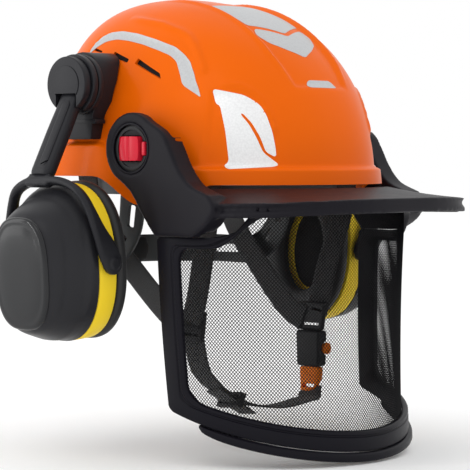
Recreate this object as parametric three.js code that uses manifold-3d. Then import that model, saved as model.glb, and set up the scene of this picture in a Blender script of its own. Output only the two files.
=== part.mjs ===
// Forestry helmet: vented shell with liner and harness, flip-up mesh visor on a brow peak, two ear muffs.
// Millimetres, +Z up. The front of the helmet faces -Y and the wearer's left is +X.
// The origin is in the middle of the head opening, level with the front rim of the shell.
import * as THREE from "three";
import { LoftGeometry } from "three/addons/geometries/LoftGeometry.js";
import { mergeVertices } from "three/addons/utils/BufferGeometryUtils.js";
import Module from "manifold-3d";

const wasm = await Module();
wasm.setup();

// ---------------------------------------------------------------- driving dimensions

const touchGap = 0.3; // left between pieces that rest on each other
const runGap = 0.8; // left round a piece that moves

const shell = {
  halfWidth: 107,
  front: 146,
  rear: 104,
  height: 141,
  wall: 3,
  planPower: 2.3,
  frontPower: 2.1,
  sidePower: 2.6,
  rearPower: 3,
  frontFlare: 5,
  sideFlare: 1.5,
  rearFlare: 12,
  frontBand: 14,
  rearBand: 32,
  bandEdge: 4,
  templeZ: -15,
  templeStartY: -98,
  templeLowY: -64,
  templeEndY: -42,
  earY: 0,
  earZ: 6,
  columns: 44,
};
const vent = { lengths: [25, 19, 12], height: 4, slopeDeg: 17, y: -35, z: 85, pitch: 29 };
const grille = { thickness: 1, margin: 4 };
const liner = { gap: 3, thickness: 21, rim: 24, ventGrow: 2, columns: 28 };
const headband = { gap: 1, thickness: 2.4, height: 28, bottom: -8 };
const browPad = { thickness: 5, height: 24, halfAngleDeg: 42 };
const crownPad = { radius: 34, thickness: 8, drop: 8 };

const webbing = { width: 20, thickness: 1.6, endGap: 3 };
const harness = {
  frontInset: 3,
  frontBack: 30,
  frontZ: 20,
  rearInset: 2,
  rearBack: 31,
  rearZ: 20,
  dividerInset: 11,
  cradlePass: 7.1,
  dividerY: -58,
  dividerZ: -104,
  chinY: -77,
  chinZ: -168,
};
const divider = { width: 30, height: 22, thickness: 4.5 };
const buckle = { width: 24, height: 28, thickness: 11, buttonRadius: 5.5, buttonTravel: 1.5 };
const tongue = { width: 22, height: 20, thickness: 8 };

const cradle = { thickness: 3, width: 22, sideGap: 5, hangY: -14, hangZ: -8, backZ: -54, rearGap: 8, padGap: 0.5 };
const ratchet = { width: 46, height: 30, depth: 11, knobRadius: 16, knobDepth: 11 };

const pivot = { y: -48, z: 26, capRadius: 17, socketEase: 0 };
const arm = {
  standOff: 5,
  thickness: 9,
  headRadius: 26,
  flank: 8,
  flankReach: 8.5,
  relief: 35,
};
const button = { width: 20, height: 18, corner: 4, proud: 3, travel: 1.5 };
const tab = { width: 3.2, height: 10, offset: 13.5 };
const peak = {
  overhang: 11,
  centreY: -95,
  reach: 115,
  planPower: 3,
  startDeg: 26,
  gap: 2.2,
  innerZ: -2,
  outerZ: -9,
  sideDrop: 4,
  thickness: 3.2,
  lip: 10,
};
const visor = {
  overhang: 10,
  reach: 105,
  centreY: -70,
  lean: 9,
  taper: 8,
  frontTop: -14,
  sideTop: -37,
  frontBottom: -192,
  sideBottom: -161,
  depth: 5,
  sideBand: 20,
  bottomBand: 15,
  lipHeight: 7,
  lipProud: 2.5,
  lipHalfDeg: 75,
  stepDeg: 7.5,
};
const mesh = { thickness: 1, overlap: 4, halfDeg: 82.5 };

const bracket = { proud: 10, frontY: -11, rearY: 31, bottomZ: 33 };
const hub = { y: 4, z: 73, radius: 22, thickness: 18 };
const muffArm = { width: 20, thickness: 11, topZ: 62, bottomZ: 6, flareDeg: 28 };
const stem = { width: 10, thickness: 4.6, length: 30 };
const yoke = { thickness: 6, width: 8, sideGap: 4, pinRadius: 3.5, pinDepth: 5, bossRadius: 7 };
const cup = {
  standOff: 33,
  y: -3,
  z: -56,
  tiltDeg: 4,
  halfWidth: 42,
  halfHeight: 57,
  power: 2.35,
  steps: 28,
  bandWidth: 17,
  bandWall: 8,
  depth: 36,
  wall: 3,
  coverDepth: 3,
};
const cushion = { thickness: 12, inset: 2, openHalfWidth: 20, openHalfHeight: 33 };
const foam = { thickness: 8, gap: 1.5 };

// ---------------------------------------------------------------- shape helpers

const degree = Math.PI / 180;
const along = (x, y, z) => new THREE.Vector3(x, y, z);
const mix = (a, b, t) => a + (b - a) * t;

function signedPower(value, power) {
  return Math.sign(value) * Math.abs(value) ** power;
}

function ease(low, high, value) {
  return THREE.MathUtils.smoothstep(value, low, high);
}

// A closed geometry as a solid that can be joined and cut.
function solidOf(geometry) {
  const bare = new THREE.BufferGeometry();
  bare.setAttribute("position", geometry.getAttribute("position"));
  if (geometry.index) bare.setIndex(geometry.index);
  const merged = mergeVertices(bare, 1e-3);
  const corners = merged.index.array;
  const kept = [];
  for (let i = 0; i < corners.length; i += 3) {
    const [a, b, c] = corners.subarray(i, i + 3);
    if (a !== b && b !== c && c !== a) kept.push(a, b, c);
  }
  return new wasm.Manifold(
    new wasm.Mesh({
      numProp: 3,
      vertProperties: merged.attributes.position.array,
      triVerts: new Uint32Array(kept),
    }),
  );
}

function geometryOf(solid) {
  const made = solid.getMesh();
  const geometry = new THREE.BufferGeometry();
  geometry.setAttribute("position", new THREE.BufferAttribute(made.vertProperties, 3));
  geometry.setIndex(new THREE.BufferAttribute(made.triVerts, 1));
  geometry.computeVertexNormals();
  return geometry;
}

function cut(body, ...tools) {
  return geometryOf(tools.reduce((left, tool) => left.subtract(solidOf(tool)), solidOf(body)));
}

function join(...pieces) {
  return geometryOf(pieces.map(solidOf).reduce((sum, piece) => sum.add(piece)));
}

function common(body, tool) {
  return geometryOf(solidOf(body).intersect(solidOf(tool)));
}

// A closed skin over rings of points; the first and last rings may shrink to a point.
function skin(rings) {
  return geometryOf(solidOf(new LoftGeometry(rings)));
}

// A bar or wall through a row of outlines, closed at both ends.
function bar(outlines) {
  return geometryOf(solidOf(new LoftGeometry(outlines, { capStart: true, capEnd: true })));
}

function extruded(shape, depth) {
  return new THREE.ExtrudeGeometry(shape, { depth, bevelEnabled: false, curveSegments: 3 });
}

// An outline drawn in Y and Z, filled from one X to another.
function acrossX(shape, fromX, toX) {
  const turn = new THREE.Matrix4().makeBasis(along(0, 1, 0), along(0, 0, 1), along(1, 0, 0));
  return extruded(shape, toX - fromX).applyMatrix4(turn).translate(fromX, 0, 0);
}

// An outline drawn in X and Y, filled from one Z to another.
function acrossZ(shape, fromZ, toZ) {
  return extruded(shape, toZ - fromZ).translate(0, 0, fromZ);
}

function ovalPoints(halfWidth, halfHeight, power, steps) {
  return Array.from({ length: steps }, (_, i) => {
    const angle = (2 * Math.PI * i) / steps;
    return new THREE.Vector2(
      halfWidth * signedPower(Math.cos(angle), 2 / power),
      halfHeight * signedPower(Math.sin(angle), 2 / power),
    );
  });
}

function ovalRing(outer, inner) {
  const shape = new THREE.Shape(outer);
  if (inner) shape.holes.push(new THREE.Path(inner));
  return shape;
}

function roundedBox(width, height, radius) {
  const shape = new THREE.Shape();
  const x = width / 2 - radius;
  const y = height / 2 - radius;
  shape.absarc(x, -y, radius, -Math.PI / 2, 0);
  shape.absarc(x, y, radius, 0, Math.PI / 2);
  shape.absarc(-x, y, radius, Math.PI / 2, Math.PI);
  shape.absarc(-x, -y, radius, Math.PI, 1.5 * Math.PI);
  shape.closePath();
  return shape;
}

function cylinderX(radius, fromX, toX, y, z, sides = 20) {
  return new THREE.CylinderGeometry(radius, radius, toX - fromX, sides)
    .rotateZ(-Math.PI / 2)
    .translate((fromX + toX) / 2, y, z);
}

// A flat strap or bar through points: "across" gives the direction of its width at each share of the way.
function strap(points, across, width, thickness, steps) {
  const path = new THREE.CatmullRomCurve3(points);
  const outlines = [];
  for (let i = 0; i <= steps; i++) {
    const share = i / steps;
    const centre = path.getPointAt(share);
    const ahead = path.getTangentAt(share);
    const side = across(share).clone();
    side.addScaledVector(ahead, -side.dot(ahead)).normalize();
    const face = new THREE.Vector3().crossVectors(ahead, side);
    const corner = (w, t) =>
      centre
        .clone()
        .addScaledVector(side, (w * width) / 2)
        .addScaledVector(face, (t * thickness) / 2);
    outlines.push([corner(1, -1), corner(1, 1), corner(-1, 1), corner(-1, -1)]);
  }
  return bar(outlines);
}

// ---------------------------------------------------------------- shell form

// How far the dome reaches to the side, front and rear at a height, grown by a wall or gap.
function domeReach(z, grow) {
  const rise = THREE.MathUtils.clamp(z / (shell.height + grow), 0, 1);
  const reach = (base, power) => (base + grow) * (1 - rise ** power) ** (1 / power);
  return {
    side: reach(shell.halfWidth, shell.sidePower),
    front: reach(shell.front, shell.frontPower),
    rear: reach(shell.rear, shell.rearPower),
  };
}

// A point of a plan oval whose front and rear reach differently; angle 0 is the wearer's left.
function planPoint(angle, reach, power) {
  const length = Math.sin(angle) < 0 ? reach.front : reach.rear;
  return new THREE.Vector2(
    reach.side * signedPower(Math.cos(angle), 2 / power),
    length * signedPower(Math.sin(angle), 2 / power),
  );
}

function planRing(reach, steps) {
  return Array.from({ length: steps }, (_, i) =>
    planPoint((2 * Math.PI * i) / steps, reach, shell.planPower),
  );
}

// The rim is level at the front, dips at the temples and arches over the ears.
function rimZ(y) {
  const dip = shell.templeZ * ease(shell.templeStartY, shell.templeLowY, y);
  return mix(dip, shell.earZ, ease(shell.templeEndY, shell.earY, y));
}

function flareOut(y) {
  const front = mix(shell.frontFlare, shell.sideFlare, ease(shell.templeStartY, shell.templeLowY, y));
  return mix(front, shell.rearFlare, ease(shell.templeEndY, shell.rear / 2, y));
}

function bandTop(y) {
  return mix(shell.frontBand, shell.rearBand, ease(shell.templeLowY, shell.earY, y));
}

// Rings of the dome from the rim up to the apex, at "grow" outside the outer face.
function domeRings(grow, columns, withBand) {
  const shares = [0.33, 0.47, 0.6, 0.72, 0.82, 0.9, 0.955, 0.987];
  const top = shell.height + grow;
  const ring = (zAt, flareShare) =>
    Array.from({ length: columns }, (_, i) => {
      const angle = (2 * Math.PI * i) / columns;
      const y = planPoint(angle, shell, shell.planPower).y;
      const z = zAt(y);
      const reach = domeReach(z, grow);
      const flare = flareShare * flareOut(y);
      reach.side += flare;
      reach.front += flare;
      reach.rear += flare;
      const plan = planPoint(angle, reach, shell.planPower);
      return along(plan.x, plan.y, z);
    });
  const rings = withBand
    ? [ring(rimZ, 1), ring((y) => bandTop(y) - shell.bandEdge, 0.85), ring(bandTop, 0.1)]
    : [ring(() => liner.rim, 0)];
  shares.forEach((share) => rings.push(ring(() => share * top, 0)));
  rings.push(Array(columns).fill(along(0, 0, top)));
  return rings;
}

// The dome's outside as one block, for cutting what is fitted against the shell.
function shellBlock(grow) {
  const rings = domeRings(grow, shell.columns, true);
  const floorZ = shell.templeZ - 10;
  const floor = rings[0].map((point) => along(point.x, point.y, floorZ));
  return skin([Array(shell.columns).fill(along(0, 0, floorZ)), floor, ...rings]);
}

const fittedToShell = (geometry) => cut(geometry, shellBlock(touchGap));

// ---------------------------------------------------------------- helmet pieces

function ventSlots(grow, depthFrom, depthTo) {
  const slots = [];
  vent.lengths.forEach((length, i) => {
    const radius = vent.height / 2 + grow - 0.05;
    const outline = roundedBox(length + 2 * grow, vent.height + 2 * grow, radius);
    const y = vent.y + i * vent.pitch;
    const z = vent.z + i * vent.pitch * Math.tan(vent.slopeDeg * degree);
    slots.push(acrossX(outline, depthFrom, depthTo).rotateX(vent.slopeDeg * degree).translate(0, y, z));
  });
  return slots;
}

// The same piece on the wearer's right, with its faces turned back outwards.
function mirrored(geometry) {
  const loose = geometry.index ? geometry.toNonIndexed() : geometry.clone();
  const turned = loose.scale(-1, 1, 1);
  const place = turned.getAttribute("position");
  for (let i = 0; i < place.count; i += 3) {
    const [x, y, z] = [place.getX(i), place.getY(i), place.getZ(i)];
    place.setXYZ(i, place.getX(i + 1), place.getY(i + 1), place.getZ(i + 1));
    place.setXYZ(i + 1, x, y, z);
  }
  return turned;
}

function outerShell() {
  const outside = domeRings(0, shell.columns, true);
  const inside = domeRings(-shell.wall, shell.columns, true).reverse();
  const slots = ventSlots(0, shell.halfWidth / 2, shell.halfWidth + shell.wall);
  return cut(skin([...inside, ...outside]), ...slots, ...slots.map(mirrored));
}

// Foam dome, cut through behind the vents.
function impactLiner() {
  const outside = domeRings(-shell.wall - liner.gap, liner.columns, false);
  const inside = domeRings(-shell.wall - liner.gap - liner.thickness, liner.columns, false).reverse();
  const slots = ventSlots(liner.ventGrow, shell.halfWidth / 3, shell.halfWidth);
  return cut(skin([...inside, ...outside]), ...slots, ...slots.map(mirrored));
}

// A thin strip of the dome form just inside the wall, behind the vents of the wearer's left side.
function ventGrille() {
  const outside = domeRings(-shell.wall - touchGap, shell.columns, false);
  const inside = domeRings(-shell.wall - touchGap - grille.thickness, shell.columns, false).reverse();
  const length = 2 * vent.pitch + vent.lengths[0] + 2 * grille.margin;
  const window = acrossX(roundedBox(length, vent.height + 2 * grille.margin, 4), 0, shell.halfWidth)
    .rotateX(vent.slopeDeg * degree)
    .translate(0, vent.y + vent.pitch, vent.z + vent.pitch * Math.tan(vent.slopeDeg * degree));
  return common(skin([...inside, ...outside]), window);
}

const linerInside = -shell.wall - liner.gap - liner.thickness;
const headReach = {
  side: shell.halfWidth + linerInside - headband.gap,
  front: shell.front + linerInside - headband.gap,
  rear: shell.rear + linerInside - headband.gap,
};
const grown = (reach, by) => ({ side: reach.side + by, front: reach.front + by, rear: reach.rear + by });

// The straps start beside the headband and come together on the divider below the ear.
const strapFrontX = headReach.side - harness.frontInset;
const strapFrontY = harness.frontBack - headReach.front;
const strapRearX = headReach.side - harness.rearInset;
const strapRearY = headReach.rear - harness.rearBack;
const dividerX = headReach.side - harness.dividerInset;

function headbandRing() {
  const outline = ovalRing(planRing(headReach, 44), planRing(grown(headReach, -headband.thickness), 44));
  return acrossZ(outline, headband.bottom, headband.bottom + headband.height);
}

// A pad against the inside of a plan oval, over an arc either side of "middleDeg".
function arcPad(reach, thickness, middleDeg, halfAngleDeg, fromZ, toZ) {
  const arc = (inset) =>
    Array.from({ length: 13 }, (_, i) => {
      const angle = middleDeg + halfAngleDeg * (i / 6 - 1);
      return planPoint(angle * degree, grown(reach, -inset), shell.planPower);
    });
  return acrossZ(new THREE.Shape([...arc(0), ...arc(thickness).reverse()]), fromZ, toZ);
}

function browPadShape() {
  const inside = grown(headReach, -headband.thickness - touchGap);
  const low = headband.bottom + (headband.height - browPad.height) / 2;
  return arcPad(inside, browPad.thickness, 270, browPad.halfAngleDeg, low, low + browPad.height);
}

function crownPadShape() {
  const top = shell.height + linerInside - crownPad.drop;
  const edge = crownPad.thickness / 3;
  const profile = [
    new THREE.Vector2(0, top - crownPad.thickness),
    new THREE.Vector2(crownPad.radius - edge, top - crownPad.thickness),
    new THREE.Vector2(crownPad.radius, top - crownPad.thickness + edge),
    new THREE.Vector2(crownPad.radius, top - edge),
    new THREE.Vector2(crownPad.radius - edge, top),
    new THREE.Vector2(0, top),
  ];
  return new THREE.LatheGeometry(profile, 20).rotateX(Math.PI / 2);
}

// ---------------------------------------------------------------- harness

const dividerTop = harness.dividerZ + divider.height / 2;
const dividerBottom = harness.dividerZ - divider.height / 2;
const alongLength = () => along(0, 1, 0);

// Webbing lies flat against the head, so its width runs along the helmet and its face looks sideways.
function frontStrap() {
  const points = [
    along(strapFrontX, strapFrontY, harness.frontZ),
    along(strapFrontX, strapFrontY + 5, -20),
    along(dividerX + 2, harness.dividerY - 12, dividerTop + 25),
    along(dividerX, harness.dividerY - 6, dividerTop + webbing.endGap),
  ];
  return strap(points, alongLength, webbing.width, webbing.thickness, 10);
}

function rearStrap() {
  const endY = harness.dividerY + divider.width / 2 + 0.375 * webbing.width;
  const insideCradle = 0.86 * cradleReach.side + harness.cradlePass - 0.45 * webbing.width;
  const points = [
    along(strapRearX, strapRearY, harness.rearZ),
    along(strapRearX - 1.6, strapRearY - 10, -25),
    along(insideCradle, strapRearY - 44, -64),
    along(dividerX, endY, harness.dividerZ),
  ];
  const path = new THREE.CatmullRomCurve3(points);
  const across = (share) => path.getTangentAt(share).cross(along(-1, 0, 0));
  return strap(points, across, webbing.width, webbing.thickness, 14);
}

function dividerPlate() {
  const outline = roundedBox(divider.width, divider.height, 4);
  const from = dividerX - divider.thickness / 2;
  return acrossX(outline, from, from + divider.thickness).translate(0, harness.dividerY, harness.dividerZ);
}

const buckleTop = dividerBottom - touchGap;
const tongueTop = buckleTop - buckle.height - touchGap;
const chinTop = tongueTop - tongue.height - touchGap;

// Runs from the wearer's right divider under the chin up to the tongue on the left.
const jawX = 0.55 * dividerX;
const jawY = mix(harness.dividerY, harness.chinY, 0.8);
const chinPath = new THREE.CatmullRomCurve3([
  along(-dividerX, harness.dividerY - 2, dividerBottom - webbing.endGap),
  along(0.92 * -dividerX, harness.dividerY - 6, dividerBottom - 25),
  along(-jawX, jawY, harness.chinZ + 8),
  along(0, harness.chinY, harness.chinZ),
  along(jawX, jawY, mix(harness.chinZ, chinTop, 0.35)),
  along(dividerX - 2, harness.dividerY - 4, chinTop - webbing.endGap),
]);

function chinStrap() {
  return strap(chinPath.points, alongLength, webbing.width, webbing.thickness, 22);
}

// A point beside the chin strap, below its underside.
function belowChin(share, distance) {
  const under = new THREE.Vector3().crossVectors(alongLength(), chinPath.getTangentAt(share)).normalize();
  return chinPath.getPointAt(share).addScaledVector(under, distance);
}

const tailDrop = webbing.thickness + 1;

function strapTail() {
  const points = [belowChin(0.27, tailDrop), belowChin(0.36, tailDrop), belowChin(0.46, 2.5 * tailDrop)];
  return strap(points, alongLength, webbing.width, webbing.thickness, 6);
}

// A loop round the chin strap and its tail.
function strapKeeper() {
  const middle = 0.33;
  const rail = (reach) => [-reach, 0, reach].map((offset) => belowChin(middle + offset, tailDrop / 2));
  const opening = 2 * webbing.thickness + tailDrop + 1;
  const outside = strap(rail(0.014), alongLength, webbing.width + 7, opening + 4, 2);
  return cut(outside, strap(rail(0.04), alongLength, webbing.width + 2, opening, 6));
}

function buckleBody() {
  const outline = roundedBox(buckle.width, buckle.height, 4);
  const face = dividerX + buckle.thickness / 2;
  const middle = buckleTop - buckle.height / 2;
  const floor = face - buckle.buttonTravel - 4;
  const block = acrossX(outline, face - buckle.thickness, face).translate(0, 0, middle);
  const hole = cylinderX(buckle.buttonRadius + touchGap, floor, face + 1, 0, middle);
  return cut(block, hole).translate(0, harness.dividerY, 0);
}

function buckleButton() {
  const face = dividerX + buckle.thickness / 2;
  const middle = buckleTop - buckle.height / 2;
  return cylinderX(buckle.buttonRadius, face - 3.2, face + 1.2, harness.dividerY, middle, 16);
}

function buckleTongue() {
  const outline = roundedBox(tongue.width, tongue.height, 5);
  const from = dividerX - tongue.thickness / 2;
  return acrossX(outline, from, from + tongue.thickness)
    .translate(0, harness.dividerY, tongueTop - tongue.height / 2);
}

// ---------------------------------------------------------------- nape cradle

const cradleReach = grown(headReach, cradle.sideGap);
const cradleRear = cradleReach.rear + cradle.rearGap;

function cradlePath() {
  const half = [
    along(cradleReach.side, cradle.hangY, cradle.hangZ),
    along(cradleReach.side - 1, cradle.hangY + 5, mix(cradle.hangZ, cradle.backZ, 0.55)),
    along(cradleReach.side - 3, cradle.hangY + 22, cradle.backZ + 2),
    along(0.86 * cradleReach.side, 0.55 * cradleRear, cradle.backZ),
    along(0.5 * cradleReach.side, 0.92 * cradleRear, cradle.backZ),
  ];
  const other = half.map((point) => along(-point.x, point.y, point.z)).reverse();
  return [...half, along(0, cradleRear, cradle.backZ), ...other];
}

function napeCradle() {
  const points = cradlePath();
  const path = new THREE.CatmullRomCurve3(points);
  const outward = (share) => path.getPointAt(share).setZ(0).normalize();
  const across = (share) => outward(share).cross(path.getTangentAt(share));
  return strap(points, across, cradle.width, cradle.thickness, 34);
}

// Link from inside the ear arch down to the cradle's arm.
function cradleHanger() {
  const top = shell.halfWidth - shell.wall - 8;
  const points = [
    along(top, cradle.hangY, shell.earZ + 10),
    along(mix(top, cradleReach.side, 0.6), cradle.hangY, shell.earZ - 3),
    along(cradleReach.side, cradle.hangY, cradle.hangZ + 3),
  ];
  return strap(points, alongLength, cradle.width - 4, cradle.thickness, 6);
}

const cradleFace = cradleRear + cradle.thickness / 2;

// The pad rests on the inside of the cradle's curve at its own two ends.
function napePad() {
  const reach = ratchet.width * 0.6;
  const beside = (point) => (point.y > 0 ? Math.abs(point.x - reach) : Infinity);
  const curve = new THREE.CatmullRomCurve3(cradlePath()).getPoints(400);
  const end = curve.reduce((best, point) => (beside(point) < beside(best) ? point : best));
  const outline = roundedBox(2 * reach, cradle.width, 6);
  return extruded(outline, 5)
    .rotateX(Math.PI / 2)
    .translate(0, end.y - cradle.thickness / 2 - cradle.padGap, cradle.backZ);
}

function ratchetHousing() {
  return extruded(roundedBox(ratchet.width, ratchet.height, 10), ratchet.depth)
    .rotateX(Math.PI / 2)
    .translate(0, cradleFace + touchGap + ratchet.depth, cradle.backZ);
}

const knobFrom = cradleFace + touchGap + ratchet.depth + runGap;

// Knob with a grip notch at each tenth of its rim.
function ratchetKnob() {
  const outline = new THREE.Shape(
    Array.from({ length: 40 }, (_, i) => {
      const radius = ratchet.knobRadius - (i % 4 === 0 ? 1.5 : 0);
      const angle = (Math.PI * i) / 20;
      return new THREE.Vector2(radius * Math.cos(angle), radius * Math.sin(angle));
    }),
  );
  return extruded(outline, ratchet.knobDepth)
    .rotateX(Math.PI / 2)
    .translate(0, knobFrom + ratchet.knobDepth, cradle.backZ);
}

// ---------------------------------------------------------------- visor

const armInner = shell.halfWidth + arm.standOff;
const armOuter = armInner + arm.thickness;

// Side view of one arm: round head at the pivot, sweeping down and forward to the peak.
function armOutline() {
  const shape = new THREE.Shape();
  const at = (y, z) => new THREE.Vector2(pivot.y + y, pivot.z + z);
  shape.moveTo(pivot.y - 23.5, pivot.z - 62.5);
  shape.lineTo(pivot.y - 60, pivot.z - 62.5);
  shape.splineThru([at(-74, -54), at(-82, -42)]);
  shape.lineTo(pivot.y - 76, pivot.z - 33);
  shape.splineThru([at(-57, -25), at(-47, -14), at(-39, 0), at(-32, 11), at(-16.7, 19.9)]);
  shape.absarc(pivot.y, pivot.z, arm.headRadius, 130 * degree, -50 * degree, true);
  shape.splineThru([at(1, -31), at(-10, -46), at(-18, -56), at(-23.5, -62.5)]);
  return shape;
}

function visorArm() {
  const outline = armOutline();
  const inner = armInner - arm.flankReach;
  const pocket = acrossX(outline, inner - 1, armInner).translate(0, arm.flank, -arm.flank / 2);
  const relief = cylinderX(arm.relief, inner - 1, armInner, pivot.y, pivot.z, 32);
  const hole = cylinderX(pivot.capRadius + touchGap, inner - 1, armOuter + 1, pivot.y, pivot.z, 28);
  return cut(acrossX(outline, inner, armOuter), pocket, relief, hole);
}

const rimReach = { side: shell.halfWidth, front: shell.front, rear: shell.rear };
const peakReach = { side: shell.halfWidth + peak.overhang, front: peak.reach, rear: peak.reach };

// The peak runs round the front from arm to arm: its inner edge follows the rim, its outer edge has a lip.
function peakPlate() {
  const outlines = [];
  const steps = 36;
  for (let i = 0; i <= steps; i++) {
    const turn = i / steps;
    const innerAngle = mix(180 + peak.startDeg, 360 - peak.startDeg, turn) * degree;
    const outerAngle = mix(180, 360, turn) * degree;
    const rimY = planPoint(innerAngle, shell, shell.planPower).y;
    const inner = planPoint(innerAngle, grown(rimReach, flareOut(rimY) + peak.gap), shell.planPower);
    const outer = planPoint(outerAngle, peakReach, peak.planPower);
    const lipInner = planPoint(outerAngle, grown(peakReach, -peak.thickness), peak.planPower);
    outer.y += peak.centreY;
    lipInner.y += peak.centreY;
    const fall = Math.abs(Math.cos(outerAngle)) ** 2;
    const edgeZ = peak.outerZ - peak.sideDrop * fall;
    const innerZ = Math.min(rimZ(rimY), 0) + peak.innerZ;
    outlines.push([
      along(inner.x, inner.y, innerZ),
      along(outer.x, outer.y, edgeZ),
      along(outer.x, outer.y, edgeZ - peak.lip),
      along(lipInner.x, lipInner.y, edgeZ - peak.lip),
      along(lipInner.x, lipInner.y, edgeZ - peak.thickness),
      along(inner.x, inner.y, innerZ - peak.thickness),
    ]);
  }
  return bar(outlines);
}

function visorCarrier() {
  const left = visorArm();
  return join(peakPlate(), left, mirrored(left));
}

const visorHalfWidth = shell.halfWidth + visor.overhang;

// A point of the visor's outer face: phi is 0 at the front and 90 degrees at the wearer's left edge.
function visorPoint(phi, z, inset) {
  const drop = THREE.MathUtils.clamp((visor.sideTop - z) / (visor.sideTop - visor.frontBottom), 0, 1);
  const side = visorHalfWidth - visor.taper * drop - inset;
  const reach = visor.reach - visor.taper * drop - inset;
  const centreY = visor.centreY - visor.lean * drop * drop;
  return along(side * Math.sin(phi), centreY - reach * Math.cos(phi), z);
}

// Heights of the frame's edges and window round the front; "turned" is the share of the way to the side.
const turned = (phi) => Math.abs(phi) / (Math.PI / 2);
const visorTop = (phi) => mix(visor.frontTop, visor.sideTop, ease(0.5, 0.67, turned(phi)));
const visorBottom = (phi) => mix(visor.frontBottom, visor.sideBottom, turned(phi) ** 1.8);
const windowTop = (phi) => mix(visor.frontTop - 7, visor.sideTop - 8, ease(0.47, 0.73, turned(phi)));
const windowBottom = (phi) => visorBottom(phi) + visor.bottomBand;

// A curved panel between two heights that vary round the front, from one inset to another.
function visorPanel(halfAngle, topAt, bottomAt, fromInset, toInset, rows) {
  const steps = Math.round((2 * halfAngle) / (visor.stepDeg * degree));
  const outlines = [];
  for (let i = 0; i <= steps; i++) {
    const phi = halfAngle * ((2 * i) / steps - 1);
    const face = (inset) =>
      Array.from({ length: rows + 1 }, (_, row) =>
        visorPoint(phi, mix(topAt(phi), bottomAt(phi), row / rows), inset),
      );
    outlines.push([...face(fromInset), ...face(toInset).reverse()]);
  }
  return bar(outlines);
}

const bandAngle = visor.sideBand / ((visorHalfWidth + visor.reach) / 2);

function visorFrame() {
  const panel = visorPanel(Math.PI / 2, visorTop, visorBottom, 0, visor.depth, 4);
  const window = visorPanel(Math.PI / 2 - bandAngle, windowTop, windowBottom, -2, visor.depth + 2, 3);
  return cut(panel, window);
}

function visorMesh() {
  const top = (phi) => windowTop(phi) + mesh.overlap;
  const bottom = (phi) => windowBottom(phi) - mesh.overlap;
  const inset = visor.depth + touchGap;
  return visorPanel(mesh.halfDeg * degree, top, bottom, inset, inset + mesh.thickness, 3);
}

function visorLip() {
  const top = (phi) => visorBottom(phi) - touchGap;
  const bottom = (phi) => visorBottom(phi) - touchGap - visor.lipHeight;
  return visorPanel(visor.lipHalfDeg * degree, top, bottom, -visor.lipProud, visor.depth, 1);
}

function visorSocket() {
  const face = armInner - touchGap;
  const radius = pivot.capRadius - pivot.socketEase;
  return fittedToShell(cylinderX(radius, shell.halfWidth / 2, face, pivot.y, pivot.z, 24));
}

function pivotCap() {
  const disc = cylinderX(pivot.capRadius, armInner + touchGap, armOuter - 1.5, 0, 0, 28);
  const buttonHole = acrossX(
    roundedBox(button.width + 2 * touchGap, button.height + 2 * touchGap, button.corner + touchGap),
    armInner - 1,
    armOuter,
  );
  const tabHole = acrossX(
    roundedBox(tab.width + 2 * touchGap, tab.height + 2 * touchGap, 1),
    armInner - 1,
    armOuter,
  ).translate(0, -tab.offset, 0);
  return cut(disc, buttonHole, tabHole).translate(0, pivot.y, pivot.z);
}

function releaseButton() {
  const from = armInner + touchGap + button.travel;
  return acrossX(roundedBox(button.width, button.height, button.corner), from, armOuter + button.proud)
    .translate(0, pivot.y, pivot.z);
}

function releaseTab() {
  const from = armInner + touchGap + button.travel;
  return acrossX(roundedBox(tab.width, tab.height, 0.8), from, armOuter + 1)
    .translate(0, pivot.y - tab.offset, pivot.z);
}

// ---------------------------------------------------------------- ear muffs

const bracketFace = shell.halfWidth + bracket.proud;
const hubFrom = bracketFace + runGap;
const hubFace = hubFrom + hub.thickness;

function muffBracket() {
  const shape = new THREE.Shape();
  const rise = hub.z + hub.radius - 14;
  shape.moveTo(bracket.frontY + 8, bracket.bottomZ);
  shape.lineTo(bracket.rearY, bracket.bottomZ);
  shape.lineTo(bracket.rearY - 2, rise);
  shape.splineThru([
    new THREE.Vector2(hub.y + 16, hub.z + hub.radius - 2),
    new THREE.Vector2(hub.y, hub.z + hub.radius + 2),
    new THREE.Vector2(hub.y - 12, hub.z + hub.radius - 4),
    new THREE.Vector2(bracket.frontY, hub.z + 4),
  ]);
  shape.lineTo(bracket.frontY + 1, hub.z - 12);
  shape.lineTo(bracket.frontY + 6, hub.z - 22);
  shape.closePath();
  return fittedToShell(acrossX(shape, shell.halfWidth / 2, bracketFace));
}

const armTopX = hubFace - muffArm.thickness / 2 - 1;
const armSlope = along(Math.sin(muffArm.flareDeg * degree), 0, -Math.cos(muffArm.flareDeg * degree));
const armLength = (muffArm.topZ - muffArm.bottomZ) / Math.cos(muffArm.flareDeg * degree);

// Layered disc with a notch for the arm.
function muffHub() {
  const step = hubFrom + 0.6 * hub.thickness;
  const stack = join(
    cylinderX(hub.radius, hubFrom, step, hub.y, hub.z, 28),
    cylinderX(hub.radius - 2, step - 1, hubFace, hub.y, hub.z, 28),
  );
  const width = muffArm.width + 2 * runGap;
  const inner = armTopX - muffArm.thickness / 2 - runGap;
  const notch = new THREE.BoxGeometry(2 * hub.thickness, width, 2 * hub.radius);
  notch.translate(inner + hub.thickness, hub.y, muffArm.topZ + muffArm.thickness / 2 + runGap - hub.radius);
  return cut(stack, notch);
}

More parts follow.
